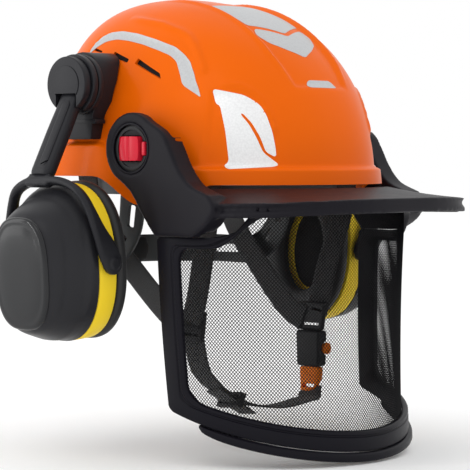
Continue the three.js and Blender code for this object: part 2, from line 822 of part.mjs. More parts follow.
// Bar that leans outwards, hollow at its lower end for the yoke's stem.
function muffArmBar() {
  const bead = new THREE.CylinderGeometry(muffArm.thickness / 2, muffArm.thickness / 2, muffArm.width, 14);
  const beam = new THREE.BoxGeometry(muffArm.thickness, muffArm.width, armLength);
  const [slotWidth, slotThickness] = [stem.width + 2 * touchGap, stem.thickness + 2 * touchGap];
  const slot = new THREE.BoxGeometry(slotThickness, slotWidth, stem.length + 4);
  slot.translate(0, 0, -armLength + stem.length / 2);
  return cut(join(bead, beam.translate(0, 0, -armLength / 2)), slot)
    .rotateY(-muffArm.flareDeg * degree)
    .translate(armTopX, hub.y, muffArm.topZ);
}

const armEnd = along(armTopX, hub.y, muffArm.topZ).addScaledVector(armSlope, armLength);
const pinAxis = along(shell.halfWidth + cup.standOff, cup.y, cup.z);

// Stem and arch in one piece, with a pin into each side of the cup.
function muffYoke() {
  const crown = armEnd.clone().addScaledVector(armSlope, yoke.thickness / 2 + runGap);
  const reach = cup.halfWidth + yoke.thickness / 2 + yoke.sideGap;
  const limb = (side) => [
    along(pinAxis.x, pinAxis.y + side * reach, pinAxis.z),
    along(mix(pinAxis.x, crown.x, 0.35), pinAxis.y + side * (reach - 1), mix(pinAxis.z, crown.z, 0.45)),
    along(mix(pinAxis.x, crown.x, 0.8), pinAxis.y + side * (0.72 * reach), mix(pinAxis.z, crown.z, 0.86)),
    along(crown.x - 0.5, pinAxis.y + side * (0.4 * reach), crown.z - 1),
  ];
  const bow = [...limb(1), crown, ...limb(-1).reverse()];
  const arch = strap(bow, () => along(1, 0, 0.4), yoke.width, yoke.thickness, 22);
  const rise = new THREE.BoxGeometry(stem.thickness, stem.width, stem.length)
    .translate(0, 0, stem.length / 2 - yoke.thickness / 2 - runGap)
    .rotateY(-muffArm.flareDeg * degree)
    .translate(armEnd.x, armEnd.y, armEnd.z);
  const pins = [1, -1].flatMap((side) => {
    const inner = cup.halfWidth - yoke.pinDepth;
    const pin = new THREE.CylinderGeometry(yoke.pinRadius, yoke.pinRadius, reach - inner, 12);
    const boss = new THREE.CylinderGeometry(yoke.bossRadius, yoke.bossRadius, yoke.thickness, 18);
    return [
      pin.translate(pinAxis.x, pinAxis.y + (side * (reach + inner)) / 2, pinAxis.z),
      boss.translate(pinAxis.x, pinAxis.y + side * reach, pinAxis.z),
    ];
  });
  return join(arch, rise, ...pins);
}

// An oval of the cup at a depth, measured out from the pin axis.
function cupOval(x, halfWidth, halfHeight, drop) {
  return ovalPoints(halfWidth, halfHeight, cup.power, cup.steps).map((p) => along(x, p.x, p.y - drop));
}

// The cup's stations from the band outwards: share of the depth, of the width, of the height, and drop.
const cupStations = [
  [0, 1, 1, 0],
  [0.15, 0.985, 0.97, 0.5],
  [0.38, 0.94, 0.91, 3],
  [0.68, 0.85, 0.83, 3.5],
  [0.9, 0.74, 0.76, 4],
  [1, 0.64, 0.7, 4],
];

const bandHalf = cup.bandWidth / 2;
const cupFrom = bandHalf + touchGap;

function cupShell() {
  const outer = cupStations.map(([depth, width, height, drop]) =>
    cupOval(cupFrom + depth * cup.depth, width * cup.halfWidth, height * cup.halfHeight, drop),
  );
  const inner = cupStations.map(([depth, width, height, drop]) => {
    const x = cupFrom + depth * (cup.depth - cup.wall);
    return cupOval(x, width * cup.halfWidth - cup.wall, height * cup.halfHeight - cup.wall, drop);
  });
  const end = (x) => Array(cup.steps).fill(along(x, 0, -cupStations.at(-1)[3]));
  const floor = end(cupFrom + cup.depth - cup.wall);
  return skin([floor, ...inner.reverse(), ...outer, end(cupFrom + cup.depth)]);
}

function cupCover() {
  const [, width, height, drop] = cupStations.at(-1);
  const from = cupFrom + cup.depth + touchGap;
  const oval = (x, grow) => cupOval(x, width * cup.halfWidth + grow, height * cup.halfHeight + grow, drop);
  return bar([oval(from, 0), oval(from + 0.6 * cup.coverDepth, -0.5), oval(from + cup.coverDepth, -3)]);
}

function cupRing() {
  const wall = cup.bandWall;
  const outline = ovalRing(
    ovalPoints(cup.halfWidth, cup.halfHeight, cup.power, cup.steps),
    ovalPoints(cup.halfWidth - wall, cup.halfHeight - wall, cup.power, cup.steps),
  );
  const bores = [1, -1].map((side) => {
    const radius = yoke.pinRadius + touchGap;
    const depth = yoke.pinDepth + touchGap;
    return new THREE.CylinderGeometry(radius, radius, 2 * depth, 12).translate(0, side * cup.halfWidth, 0);
  });
  return cut(acrossX(outline, -bandHalf, bandHalf), ...bores);
}

function earCushion() {
  const outline = ovalRing(
    ovalPoints(cup.halfWidth - cushion.inset, cup.halfHeight - cushion.inset, cup.power, cup.steps),
    ovalPoints(cushion.openHalfWidth, cushion.openHalfHeight, 2, 20),
  );
  return acrossX(outline, -bandHalf - touchGap - cushion.thickness, -bandHalf - touchGap);
}

function foamInsert() {
  const wall = cup.bandWall + foam.gap;
  const outline = ovalRing(ovalPoints(cup.halfWidth - wall, cup.halfHeight - wall, cup.power, 20));
  return acrossX(outline, -bandHalf + 2, -bandHalf + 2 + foam.thickness);
}

// ---------------------------------------------------------------- assembly

const finish = (color, roughness, metalness = 0) => () =>
  new THREE.MeshStandardMaterial({ color, roughness, metalness });
const orangeGloss = finish(0xe8640a, 0.25);
const blackSatin = finish(0x24242b, 0.5);
const blackMatte = finish(0x17171b, 0.75);
const cupGloss = finish(0x16161a, 0.18);
const bandYellow = finish(0xf2c21b, 0.4);
const foamGrey = finish(0x3a3a3d, 0.9);
const plasticGrey = finish(0x6f7274, 0.6);
const buttonRed = finish(0xe0263a, 0.35);
const webBlack = finish(0x1c1c1e, 0.9);
const wireBlack = finish(0x101012, 0.55, 0.3);

const part = new THREE.Group();

function add(name, geometry, material, group = part) {
  const mesh = new THREE.Mesh(geometry, material());
  mesh.name = name;
  group.add(mesh);
}

// Pieces drawn for the wearer's left side, with a mirrored copy on the right.
function addPair(name, geometry, material, place = (object) => object) {
  for (const [side, scale] of [["left", 1], ["right", -1]]) {
    const group = new THREE.Group();
    const inner = place(new THREE.Group());
    group.scale.x = scale;
    group.add(inner);
    part.add(group);
    add(`${name}_${side}`, geometry.clone(), material, inner);
  }
}

const atCup = (group) => {
  group.position.copy(pinAxis);
  group.rotation.y = cup.tiltDeg * degree;
  return group;
};

add("outer_shell", outerShell(), orangeGloss);
add("impact_liner", impactLiner(), foamGrey);
add("headband", headbandRing(), plasticGrey);
add("brow_pad", browPadShape(), foamGrey);
add("crown_pad", crownPadShape(), foamGrey);
addPair("vent_grille", ventGrille(), wireBlack);

addPair("front_strap", frontStrap(), webBlack);
addPair("rear_strap", rearStrap(), webBlack);
addPair("strap_divider", dividerPlate(), blackMatte);
add("chin_strap", chinStrap(), webBlack);
add("strap_tail", strapTail(), webBlack);
add("strap_keeper", strapKeeper(), blackMatte);
add("buckle_socket", buckleBody(), blackMatte);
add("buckle_button", buckleButton(), orangeGloss);
add("buckle_tongue", buckleTongue(), orangeGloss);

add("nape_cradle", napeCradle(), plasticGrey);
add("nape_pad", napePad(), foamGrey);
add("ratchet_housing", ratchetHousing(), blackSatin);
add("ratchet_knob", ratchetKnob(), blackSatin);
addPair("cradle_hanger", cradleHanger(), blackMatte);

add("visor_carrier", visorCarrier(), blackSatin);
add("visor_frame", visorFrame(), blackSatin);
add("visor_lip", visorLip(), blackSatin);
add("visor_mesh", visorMesh(), wireBlack);
addPair("visor_socket", visorSocket(), blackMatte);
addPair("pivot_cap", pivotCap(), blackMatte);
addPair("release_button", releaseButton(), buttonRed);
addPair("release_tab", releaseTab(), buttonRed);

addPair("muff_bracket", muffBracket(), blackSatin);
addPair("muff_hub", muffHub(), blackSatin);
addPair("muff_arm", muffArmBar(), blackSatin);
addPair("muff_yoke", muffYoke(), blackSatin);
addPair("cup_shell", cupShell(), cupGloss, atCup);
addPair("cup_cover", cupCover(), cupGloss, atCup);
addPair("cup_ring", cupRing(), bandYellow, atCup);
addPair("ear_cushion", earCushion(), foamGrey, atCup);
addPair("foam_insert", foamInsert(), foamGrey, atCup);

export default part;
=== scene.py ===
import math

import bmesh
import bpy
import numpy as np
from mathutils import Matrix, Vector
from mathutils.bvhtree import BVHTree


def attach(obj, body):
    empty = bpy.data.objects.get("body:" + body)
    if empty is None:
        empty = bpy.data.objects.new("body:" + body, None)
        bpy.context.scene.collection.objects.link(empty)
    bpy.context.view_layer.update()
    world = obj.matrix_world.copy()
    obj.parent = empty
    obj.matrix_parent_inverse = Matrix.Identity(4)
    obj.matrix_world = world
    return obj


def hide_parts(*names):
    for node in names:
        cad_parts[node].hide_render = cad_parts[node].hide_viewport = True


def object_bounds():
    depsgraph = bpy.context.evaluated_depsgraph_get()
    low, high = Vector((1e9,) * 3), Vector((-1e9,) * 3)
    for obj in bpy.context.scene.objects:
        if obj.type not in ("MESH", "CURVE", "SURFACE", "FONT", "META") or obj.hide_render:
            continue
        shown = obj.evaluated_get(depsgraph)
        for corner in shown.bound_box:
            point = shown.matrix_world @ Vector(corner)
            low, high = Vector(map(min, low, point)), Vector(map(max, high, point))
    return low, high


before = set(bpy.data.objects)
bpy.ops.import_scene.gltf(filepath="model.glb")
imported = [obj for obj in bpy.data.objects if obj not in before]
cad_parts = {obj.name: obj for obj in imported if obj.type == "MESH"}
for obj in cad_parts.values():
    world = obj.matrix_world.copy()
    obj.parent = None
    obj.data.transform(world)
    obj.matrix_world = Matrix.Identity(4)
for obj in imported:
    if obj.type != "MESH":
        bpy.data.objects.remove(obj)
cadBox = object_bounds()
mm = 0.001
print("frame loaded")

# camera, floor and lights

cameraPlan = {
    "turnDeg": 46.5, "tiltDeg": 0.74, "distance": 1.67, "lens": 165, "aimRight": 0.029, "aimUp": -0.0406,
}


def makeCamera(plan):
    turn, tilt = math.radians(plan["turnDeg"]), math.radians(plan["tiltDeg"])
    flat = math.cos(tilt)
    ahead = Vector((math.sin(turn) * flat, math.cos(turn) * flat, -math.sin(tilt)))
    right = Vector((math.cos(turn), -math.sin(turn), 0))
    up = right.cross(ahead)
    aim = ahead * plan["distance"] + right * plan["aimRight"] + up * plan["aimUp"]
    data = bpy.data.cameras.new("camera")
    data.lens = plan["lens"]
    data.clip_end = 50
    camera = bpy.data.objects.new("camera", data)
    bpy.context.scene.collection.objects.link(camera)
    camera.location = -ahead * plan["distance"]
    camera.rotation_euler = aim.to_track_quat("-Z", "Y").to_euler()
    bpy.context.scene.camera = camera
    return ahead, right


lookAhead, lookRight = makeCamera(cameraPlan)

stagePlan = {"floorSize": 40, "floorGap": 0.0015, "floorTone": 1.0, "skyTone": 1.0, "skyStrength": 1.0}
lampPlans = {
    "keyLamp": {"right": -0.9, "ahead": -1.5, "up": 1.7, "size": (1.3, 1.3), "watts": 5},
    "sideLamp": {"right": -1.9, "ahead": 0.1, "up": 0.5, "size": (0.5, 1.5), "watts": 5},
    "stripLamp": {"right": -1.9, "ahead": -0.5, "up": 0.25, "size": (0.14, 1.6), "watts": 6},
    "topLamp": {"right": 0.1, "ahead": 0.5, "up": 2.0, "size": (1.6, 1.0), "watts": 2},
}


def clearSelection():
    bpy.ops.object.select_all(action="DESELECT")


def activate(piece):
    clearSelection()
    piece.select_set(True)
    bpy.context.view_layer.objects.active = piece


def makeStage(plan):
    clearSelection()
    bpy.ops.mesh.primitive_plane_add(size=plan["floorSize"], location=(0, 0, cadBox[0].z - plan["floorGap"]))
    floor = bpy.context.active_object
    floor.name = "floor"
    paper = bpy.data.materials.new("paleFloor")
    paper.use_nodes = True
    shader = paper.node_tree.nodes["Principled BSDF"]
    shader.inputs["Base Color"].default_value = (plan["floorTone"],) * 3 + (1,)
    shader.inputs["Roughness"].default_value = 0.9
    shader.inputs["Specular IOR Level"].default_value = 0.0
    floor.data.materials.append(paper)
    world = bpy.data.worlds.new("studio")
    world.use_nodes = True
    sky = world.node_tree.nodes["Background"]
    sky.inputs["Color"].default_value = (plan["skyTone"],) * 3 + (1,)
    sky.inputs["Strength"].default_value = plan["skyStrength"]
    bpy.context.scene.world = world
    bpy.context.scene.view_settings.view_transform = "Standard"


def makeLamp(name, plan):
    data = bpy.data.lights.new(name, "AREA")
    data.shape = "RECTANGLE"
    data.size, data.size_y = plan["size"]
    data.energy = plan["watts"]
    lamp = bpy.data.objects.new(name, data)
    bpy.context.scene.collection.objects.link(lamp)
    flatAhead = Vector((lookAhead.x, lookAhead.y, 0)).normalized()
    lamp.location = lookRight * plan["right"] + flatAhead * plan["ahead"] + Vector((0, 0, plan["up"]))
    lamp.rotation_euler = (-lamp.location).to_track_quat("-Z", "Y").to_euler()


makeStage(stagePlan)
for lampName, lampPlan in lampPlans.items():
    makeLamp(lampName, lampPlan)
print("camera, floor and lights ready")

# materials


def addNode(tree, kind, **inputs):
    node = tree.nodes.new(kind)
    for key, value in inputs.items():
        node.inputs[key.replace("_", " ")].default_value = value
    return node


def colourOf(rgb, gain=1.0):
    return tuple(min(1.0, channel * gain) for channel in rgb) + (1,)


def newMaterial(name, rgb, rough, metal=0.0, coat=0.0, sheen=0.0, specular=0.5):
    material = bpy.data.materials.new(name)
    material.use_nodes = True
    tree = material.node_tree
    shader = tree.nodes["Principled BSDF"]
    shader.inputs["Base Color"].default_value = colourOf(rgb)
    shader.inputs["Roughness"].default_value = rough
    shader.inputs["Metallic"].default_value = metal
    shader.inputs["Coat Weight"].default_value = coat
    shader.inputs["Coat Roughness"].default_value = 0.06
    shader.inputs["Sheen Weight"].default_value = sheen
    shader.inputs["Specular IOR Level"].default_value = specular
    return material, tree, shader


# Base colour running from "low" to "high" times the colour as "factor" goes from 0 to 1.
def mixTone(tree, shader, rgb, factor, low, high):
    mixer = tree.nodes.new("ShaderNodeMix")
    mixer.data_type = "RGBA"
    mixer.inputs[6].default_value = colourOf(rgb, low)
    mixer.inputs[7].default_value = colourOf(rgb, high)
    tree.links.new(factor, mixer.inputs[0])
    tree.links.new(mixer.outputs[2], shader.inputs["Base Color"])


# Slow tone changes over the piece: "cells" is how many patches fit in a metre.
def varyTone(tree, shader, rgb, cells, spread, coords):
    noise = addNode(tree, "ShaderNodeTexNoise", Scale=cells, Detail=3.0)
    tree.links.new(coords, noise.inputs["Vector"])
    mixTone(tree, shader, rgb, noise.outputs["Fac"], 1 - spread, 1 + spread)


def varyRoughness(tree, shader, rough, spread, cells, coords):
    noise = addNode(tree, "ShaderNodeTexNoise", Scale=cells, Detail=2.0)
    span = addNode(tree, "ShaderNodeMapRange", To_Min=rough - spread, To_Max=rough + spread)
    tree.links.new(coords, noise.inputs["Vector"])
    tree.links.new(noise.outputs["Fac"], span.inputs["Value"])
    tree.links.new(span.outputs["Result"], shader.inputs["Roughness"])


def raiseBy(tree, shader, height, strength, depth):
    bump = addNode(tree, "ShaderNodeBump", Strength=strength, Distance=depth)
    tree.links.new(height, bump.inputs["Height"])
    tree.links.new(bump.outputs["Normal"], shader.inputs["Normal"])


def mouldedPlastic(name, rgb, rough, grain, grainDepth, spread, coat, specular):
    material, tree, shader = newMaterial(name, rgb, rough, coat=coat, specular=specular)
    coords = tree.nodes.new("ShaderNodeTexCoord").outputs["Object"]
    varyTone(tree, shader, rgb, 22, spread, coords)
    varyRoughness(tree, shader, rough, 0.04, 60, coords)
    speckle = addNode(tree, "ShaderNodeTexNoise", Scale=grain, Detail=2.0)
    tree.links.new(coords, speckle.inputs["Vector"])
    raiseBy(tree, shader, speckle.outputs["Fac"], 0.35, grainDepth)
    return material


def foamLike(name, rgb, cell, depth):
    material, tree, shader = newMaterial(name, rgb, 0.9, sheen=0.1, specular=0.2)
    coords = tree.nodes.new("ShaderNodeTexCoord").outputs["Object"]
    varyTone(tree, shader, rgb, 90, 0.25, coords)
    pores = addNode(tree, "ShaderNodeTexVoronoi", Scale=cell)
    tree.links.new(coords, pores.inputs["Vector"])
    raiseBy(tree, shader, pores.outputs["Distance"], 0.6, depth)
    return material


# Soft skin with fine wrinkles, for the ear cushions.
def softSkin(name, rgb):
    material, tree, shader = newMaterial(name, rgb, 0.48, sheen=0.05, specular=0.4)
    coords = tree.nodes.new("ShaderNodeTexCoord").outputs["Object"]
    varyTone(tree, shader, rgb, 40, 0.15, coords)
    wrinkle = addNode(tree, "ShaderNodeTexVoronoi", Scale=420.0)
    wrinkle.feature = "DISTANCE_TO_EDGE"
    tree.links.new(coords, wrinkle.inputs["Vector"])
    raiseBy(tree, shader, wrinkle.outputs["Distance"], 0.4, 0.0002)
    return material


# Woven webbing: ribs across the strap and threads along it, on the strap's own map in centimetres, with
# painted shade in the dips of the weave and a painted highlight on its tops.
def wovenWebbing(name, rgb, ribs=7.0, threads=11.0):
    material, tree, shader = newMaterial(name, rgb, 0.75, sheen=0.35, specular=0.25)
    place = tree.nodes.new("ShaderNodeUVMap").outputs["UV"]
    parts = tree.nodes.new("ShaderNodeSeparateXYZ")
    tree.links.new(place, parts.inputs[0])
    waves = []
    for axis, count in (("X", ribs), ("Y", threads)):
        turn = tree.nodes.new("ShaderNodeMath")
        turn.operation = "MULTIPLY"
        turn.inputs[1].default_value = count * 2 * math.pi
        wave = tree.nodes.new("ShaderNodeMath")
        wave.operation = "SINE"
        tree.links.new(parts.outputs[axis], turn.inputs[0])
        tree.links.new(turn.outputs[0], wave.inputs[0])
        waves.append(wave)
    weaveShadeAndHeight = tree.nodes.new("ShaderNodeMath")
    weaveShadeAndHeight.operation = "MULTIPLY_ADD"
    weaveShadeAndHeight.inputs[2].default_value = 0.5
    tree.links.new(waves[0].outputs[0], weaveShadeAndHeight.inputs[0])
    tree.links.new(waves[1].outputs[0], weaveShadeAndHeight.inputs[1])
    # painted shade and highlight: the tone follows the weave's height, darker in its dips and lighter on its
    # raised ribs and threads
    mixTone(tree, shader, rgb, weaveShadeAndHeight.outputs[0], 0.4, 3.4)
    raiseBy(tree, shader, weaveShadeAndHeight.outputs[0], 0.7, 0.0003)
    return material


# Reflective film: tiny cells under a smooth face.
def reflectiveFilm(name, rgb, rough):
    material, tree, shader = newMaterial(name, rgb, rough, metal=0.15, specular=0.5)
    coords = tree.nodes.new("ShaderNodeTexCoord").outputs["Object"]
    cells = addNode(tree, "ShaderNodeTexVoronoi", Scale=650.0)
    tree.links.new(coords, cells.inputs["Vector"])
    mixTone(tree, shader, rgb, cells.outputs["Distance"], 1.04, 0.9)
    raiseBy(tree, shader, cells.outputs["Distance"], 0.1, 0.0001)
    return material


# colour, roughness, grains in a metre, depth of a grain, spread of the tone, coat, specular
plastics = {
    "shellOrange": ((0.80, 0.124, 0.001), 0.32, 260, 0.00002, 0.03, 0.03, 0.06),
    "visorBlack": ((0.006, 0.0052, 0.0085), 0.46, 1500, 0.00006, 0.12, 0.0, 0.14),
    "frameBlack": ((0.0055, 0.005, 0.0085), 0.4, 1400, 0.00004, 0.12, 0.0, 0.12),
    "muffBlack": ((0.013, 0.013, 0.016), 0.4, 1500, 0.00006, 0.12, 0.0, 0.2),
    "trimBlack": ((0.008, 0.008, 0.01), 0.5, 1300, 0.00005, 0.12, 0.0, 0.3),
    "cupGloss": ((0.010, 0.0105, 0.012), 0.16, 300, 0.00001, 0.08, 0.1, 0.3),
    "cupSatin": ((0.015, 0.015, 0.018), 0.36, 1100, 0.00016, 0.2, 0.0, 0.22),
    "bandYellow": ((1.0, 0.70, 0.03), 0.45, 900, 0.00003, 0.04, 0.0, 0.15),
    "releaseRed": ((0.58, 0.010, 0.03), 0.3, 800, 0.00002, 0.05, 0.05, 0.25),
    "buckleOrange": ((0.90, 0.20, 0.004), 0.42, 900, 0.00003, 0.05, 0.0, 0.15),
    "cradleGrey": ((0.045, 0.048, 0.05), 0.45, 1200, 0.00005, 0.1, 0.0, 0.4),
    "wireBlack": ((0.005, 0.005, 0.006), 0.6, 2500, 0.00002, 0.1, 0.0, 0.15),
}
finishes = {name: mouldedPlastic(name, *plan) for name, plan in plastics.items()}
finishes["linerFoam"] = foamLike("linerFoam", (0.015, 0.015, 0.017), 420, 0.0005)
finishes["padFoam"] = foamLike("padFoam", (0.012, 0.012, 0.013), 1200, 0.0003)
finishes["cushionSkin"] = softSkin("cushionSkin", (0.012, 0.012, 0.013))
finishes["webBlack"] = wovenWebbing("webBlack", (0.012, 0.012, 0.013))
finishes["filmGrey"] = reflectiveFilm("filmGrey", (0.50, 0.51, 0.52), 0.4)
finishes["filmWhite"] = reflectiveFilm("filmWhite", (0.84, 0.845, 0.85), 0.32)
print("materials ready")

# shared modelling steps


def meshPiece(name, points, faces):
    mesh = bpy.data.meshes.new(name)
    mesh.from_pydata((np.asarray(points) * mm).tolist(), [], faces)
    piece = bpy.data.objects.new(name, mesh)
    bpy.context.scene.collection.objects.link(piece)
    return piece


def squareUp(piece):
    shape = bmesh.new()
    shape.from_mesh(piece.data)
    bmesh.ops.recalc_face_normals(shape, faces=shape.faces)
    shape.to_mesh(piece.data)
    shape.free()
    return piece


# Faces between rings of points, each ring closed round; a hoop also joins its last ring to the first.
def ringFaces(rows, columns, hoop=False):
    faces = []
    for r in range(rows if hoop else rows - 1):
        low, high = r * columns, (r + 1) % rows * columns
        for c in range(columns):
            d = (c + 1) % columns
            faces.append((low + c, low + d, high + d, high + c))
    return faces


# A skin over rings of points, filled at both ends.
def skinPiece(name, rings):
    rings = np.asarray(rings)
    rows, columns = rings.shape[:2]
    faces = ringFaces(rows, columns)
    faces.append(tuple(range(columns)))
    faces.append(tuple(range((rows - 1) * columns, rows * columns)))
    return squareUp(meshPiece(name, rings.reshape(-1, 3), faces))


# A skin closed both ways: round each ring, and from the last ring back to the first.
def hoopPiece(name, rings):
    rings = np.array(rings)
    rows, columns = rings.shape[:2]
    return squareUp(meshPiece(name, rings.reshape(-1, 3), ringFaces(rows, columns, True)))


def applyModifier(piece, kind, **settings):
    activate(piece)
    modifier = piece.modifiers.new(kind.title(), kind)
    for key, value in settings.items():
        setattr(modifier, key, value)
    bpy.ops.object.modifier_apply(modifier=modifier.name)
    return piece


def combine(piece, tool, operation):
    applyModifier(piece, "BOOLEAN", operation=operation, object=tool, solver="EXACT")
    bpy.data.objects.remove(tool)
    return piece


def roundEdges(piece, width, segments=2, angleDeg=32):
    angle = math.radians(angleDeg)
    bevel = {"width": width * mm, "segments": segments, "limit_method": "ANGLE", "angle_limit": angle}
    return applyModifier(piece, "BEVEL", **bevel)


# Moulds what overlaps into one soft-edged body.
def mouldTogether(piece, cell, passes):
    applyModifier(piece, "REMESH", mode="VOXEL", voxel_size=cell * mm)
    return applyModifier(piece, "SMOOTH", factor=0.5, iterations=passes)


def gather(name, parts):
    activate(parts[0])
    for extra in parts[1:]:
        extra.select_set(True)
    bpy.ops.object.join()
    parts[0].name = name
    return parts[0]


def mirroredCopy(piece, name):
    twin = bpy.data.objects.new(name, piece.data.copy())
    bpy.context.scene.collection.objects.link(twin)
    twin.data.transform(Matrix.Scale(-1, 4, (1, 0, 0)))
    twin.data.flip_normals()
    return twin


def finishPiece(piece, body, finish, replaced=(), smoothDeg=35):
    piece.data.materials.clear()
    piece.data.materials.append(finishes[finish])
    activate(piece)
    bpy.ops.object.shade_smooth_by_angle(angle=math.radians(smoothDeg))
    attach(piece, body)
    if replaced:
        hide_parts(*replaced)
    return piece


# Finishes a left piece and its mirrored twin; "{side}" in a body or node name becomes left or right.
def finishPair(left, body, finish, replaced=(), smoothDeg=35):
    base = left.name.replace("Left", "")
    left.name = base + "Left"
    right = mirroredCopy(left, base + "Right")
    pair = {"left": left, "right": right}
    for side, piece in pair.items():
        nodes = [node.format(side=side) for node in replaced]
        finishPiece(piece, body.format(side=side), finish, nodes, smoothDeg)
    return pair


# A copy of a CAD node with its loose triangles joined, its flats cleaned and its edges rounded.
def fromCad(node, name, width, segments=2):
    piece = bpy.data.objects.new(name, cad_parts[node].data.copy())
    bpy.context.scene.collection.objects.link(piece)
    activate(piece)
    bpy.ops.mesh.customdata_custom_splitnormals_clear()
    shape = bmesh.new()
    shape.from_mesh(piece.data)
    bmesh.ops.remove_doubles(shape, verts=shape.verts, dist=0.01 * mm)
    flat = math.radians(4)
    bmesh.ops.dissolve_limit(shape, angle_limit=flat, verts=shape.verts, edges=shape.edges)
    shape.to_mesh(piece.data)
    shape.free()
    return roundEdges(piece, width, segments) if width else piece


def addBox(name, centre, size):
    clearSelection()
    bpy.ops.mesh.primitive_cube_add(size=1, location=[v * mm for v in centre], scale=[v * mm for v in size])
    box = bpy.context.active_object
    bpy.ops.object.transform_apply(location=True, rotation=True, scale=True)
    box.name = name
    return box


# A disc or rod whose axis runs along X or Y.
def addRod(name, radius, length, centre, axis="X", sides=48):
    turns = {"X": (0, math.pi / 2, 0), "Y": (math.pi / 2, 0, 0)}
    place = {"location": [v * mm for v in centre], "rotation": turns[axis]}
    clearSelection()
    bpy.ops.mesh.primitive_cylinder_add(vertices=sides, radius=radius * mm, depth=length * mm, **place)
    rod = bpy.context.active_object
    bpy.ops.object.transform_apply(location=True, rotation=True, scale=True)
    rod.name = name
    return rod


# Insets and extrudes the far end face of a rod along X, step by step: (inset, rise) in millimetres.
def stepFace(piece, steps):
    for inset, rise in steps:
        activate(piece)
        caps = [face for face in piece.data.polygons if face.normal.x > 0.9 and len(face.vertices) > 8]
        endCap = caps[-1].index
        bpy.ops.object.mode_set(mode="EDIT")
        bpy.ops.mesh.select_mode(type="FACE")
        bpy.ops.mesh.select_all(action="DESELECT")
        bpy.ops.object.mode_set(mode="OBJECT")
        piece.data.polygons[endCap].select = True
        bpy.ops.object.mode_set(mode="EDIT")
        bpy.ops.mesh.inset(thickness=inset * mm)
        bpy.ops.mesh.extrude_region_move(TRANSFORM_OT_translate={"value": (rise * mm, 0, 0)})
        bpy.ops.object.mode_set(mode="OBJECT")
    return piece


def signedPower(value, power):
    return np.sign(value) * np.abs(value) ** power


def ease(low, high, value):
    share = np.clip((value - low) / (high - low), 0, 1)
    return share * share * (3 - 2 * share)


def ovalRing(halfWidth, halfHeight, power, steps):
    angles = np.arange(steps) * 2 * np.pi / steps
    across, up = signedPower(np.cos(angles), 2 / power), signedPower(np.sin(angles), 2 / power)
    return halfWidth * across, halfHeight * up


# An even row of points on a smooth curve through the given ones.
def smoothPath(points, steps):
    points = np.asarray(points, float)
    ends = np.vstack([2 * points[0] - points[1], points, 2 * points[-1] - points[-2]])
    fine = []
    for i in range(1, len(ends) - 2):
        a, b, c, d = ends[i - 1 : i + 3]
        gaps = [np.linalg.norm(q - p) ** 0.5 for p, q in ((a, b), (b, c), (c, d))]
        near = (b - a) / gaps[0] - (c - a) / (gaps[0] + gaps[1]) + (c - b) / gaps[1]
        far = (c - b) / gaps[1] - (d - b) / (gaps[1] + gaps[2]) + (d - c) / gaps[2]
        near, far = near * gaps[1], far * gaps[1]
        for t in np.linspace(0, 1, 16, endpoint=False):
            start = (2 * t**3 - 3 * t**2 + 1) * b + (t**3 - 2 * t**2 + t) * near
            fine.append(start + (3 * t**2 - 2 * t**3) * c + (t**3 - t**2) * far)
    fine = np.array(fine + [points[-1]])
    lengths = np.concatenate([[0], np.cumsum(np.linalg.norm(np.diff(fine, axis=0), axis=1))])
    wanted = np.linspace(0, lengths[-1], steps)
    return np.stack([np.interp(wanted, lengths, fine[:, k]) for k in range(3)], axis=1)


# A bar or strap swept along a path. "across" is the way of its width, one for all or one for each point,
# and "taper" is a scale for each point, or one for the width and one for the thickness.
def sweepPiece(name, path, across, width, thickness, power, around, taper=None):
    path = np.asarray(path, float)
    ahead = np.gradient(path, axis=0)
    ahead /= np.linalg.norm(ahead, axis=1, keepdims=True)
    side = np.broadcast_to(np.asarray(across, float), path.shape).copy()
    side -= (side * ahead).sum(1, keepdims=True) * ahead
    side /= np.linalg.norm(side, axis=1, keepdims=True)
    face = np.cross(ahead, side)
    w, t = ovalRing(0.5, 0.5, power, around)
    scale = np.ones(len(path)) if taper is None else np.asarray(taper)
    wide, deep = (scale[:, 0], scale[:, 1]) if scale.ndim == 2 else (scale, scale)
    rings = (
        path[:, None]
        + side[:, None] * (w[None, :, None] * width * wide[:, None, None])
        + face[:, None] * (t[None, :, None] * thickness * deep[:, None, None])
    )
    piece = skinPiece(name, rings)
    lengths = np.concatenate([[0], np.cumsum(np.linalg.norm(np.diff(path, axis=0), axis=1))])
    map2d = piece.data.uv_layers.new(name="strapMap")
    for loop in piece.data.loops:
        row, column = divmod(loop.vertex_index, around)
        map2d.data[loop.index].uv = (lengths[row] / 10, w[column] * width / 10)
    return piece


def distanceTo(line, u, v):
    best = np.full(np.shape(u), 1e9)
    for (a, b), (c, d) in zip(line[:-1], line[1:]):
        share = np.clip(((u - a) * (c - a) + (v - b) * (d - b)) / ((c - a) ** 2 + (d - b) ** 2), 0, 1)
        best = np.minimum(best, np.hypot(u - a - share * (c - a), v - b - share * (d - b)))
    return best


# shell

dome = {
    "halfWidth": 107, "front": 146, "rear": 104, "height": 141, "wall": 3, "planPower": 2.3,
    "frontPower": 2.1, "sidePower": 2.6, "rearPower": 3, "frontFlare": 5, "sideFlare": 1.5, "rearFlare": 12,
    "frontBand": 14, "rearBand": 32, "bandEdge": 4, "templeZ": -15, "templeStartY": -98, "templeLowY": -64,
    "templeEndY": -42, "earY": 0, "earZ": 6, "columns": 300, "domeRows": 100,
}


def mixed(a, b, share):
    return a + (b - a) * share


def planPoint(angles, side, front, rear):
    length = np.where(np.sin(angles) < 0, front, rear)
    power = 2 / dome["planPower"]
    return side * signedPower(np.cos(angles), power), length * signedPower(np.sin(angles), power)


def domeReach(z, grow):
    rise = np.clip(z / (dome["height"] + grow), 0, 1)

    def reach(base, power):
        return (base + grow) * (1 - rise**power) ** (1 / power)

    return (
        reach(dome["halfWidth"], dome["sidePower"]),
        reach(dome["front"], dome["frontPower"]),
        reach(dome["rear"], dome["rearPower"]),
    )


def rimHeight(y):
    dip = dome["templeZ"] * ease(dome["templeStartY"], dome["templeLowY"], y)
    return mixed(dip, dome["earZ"], ease(dome["templeEndY"], dome["earY"], y))


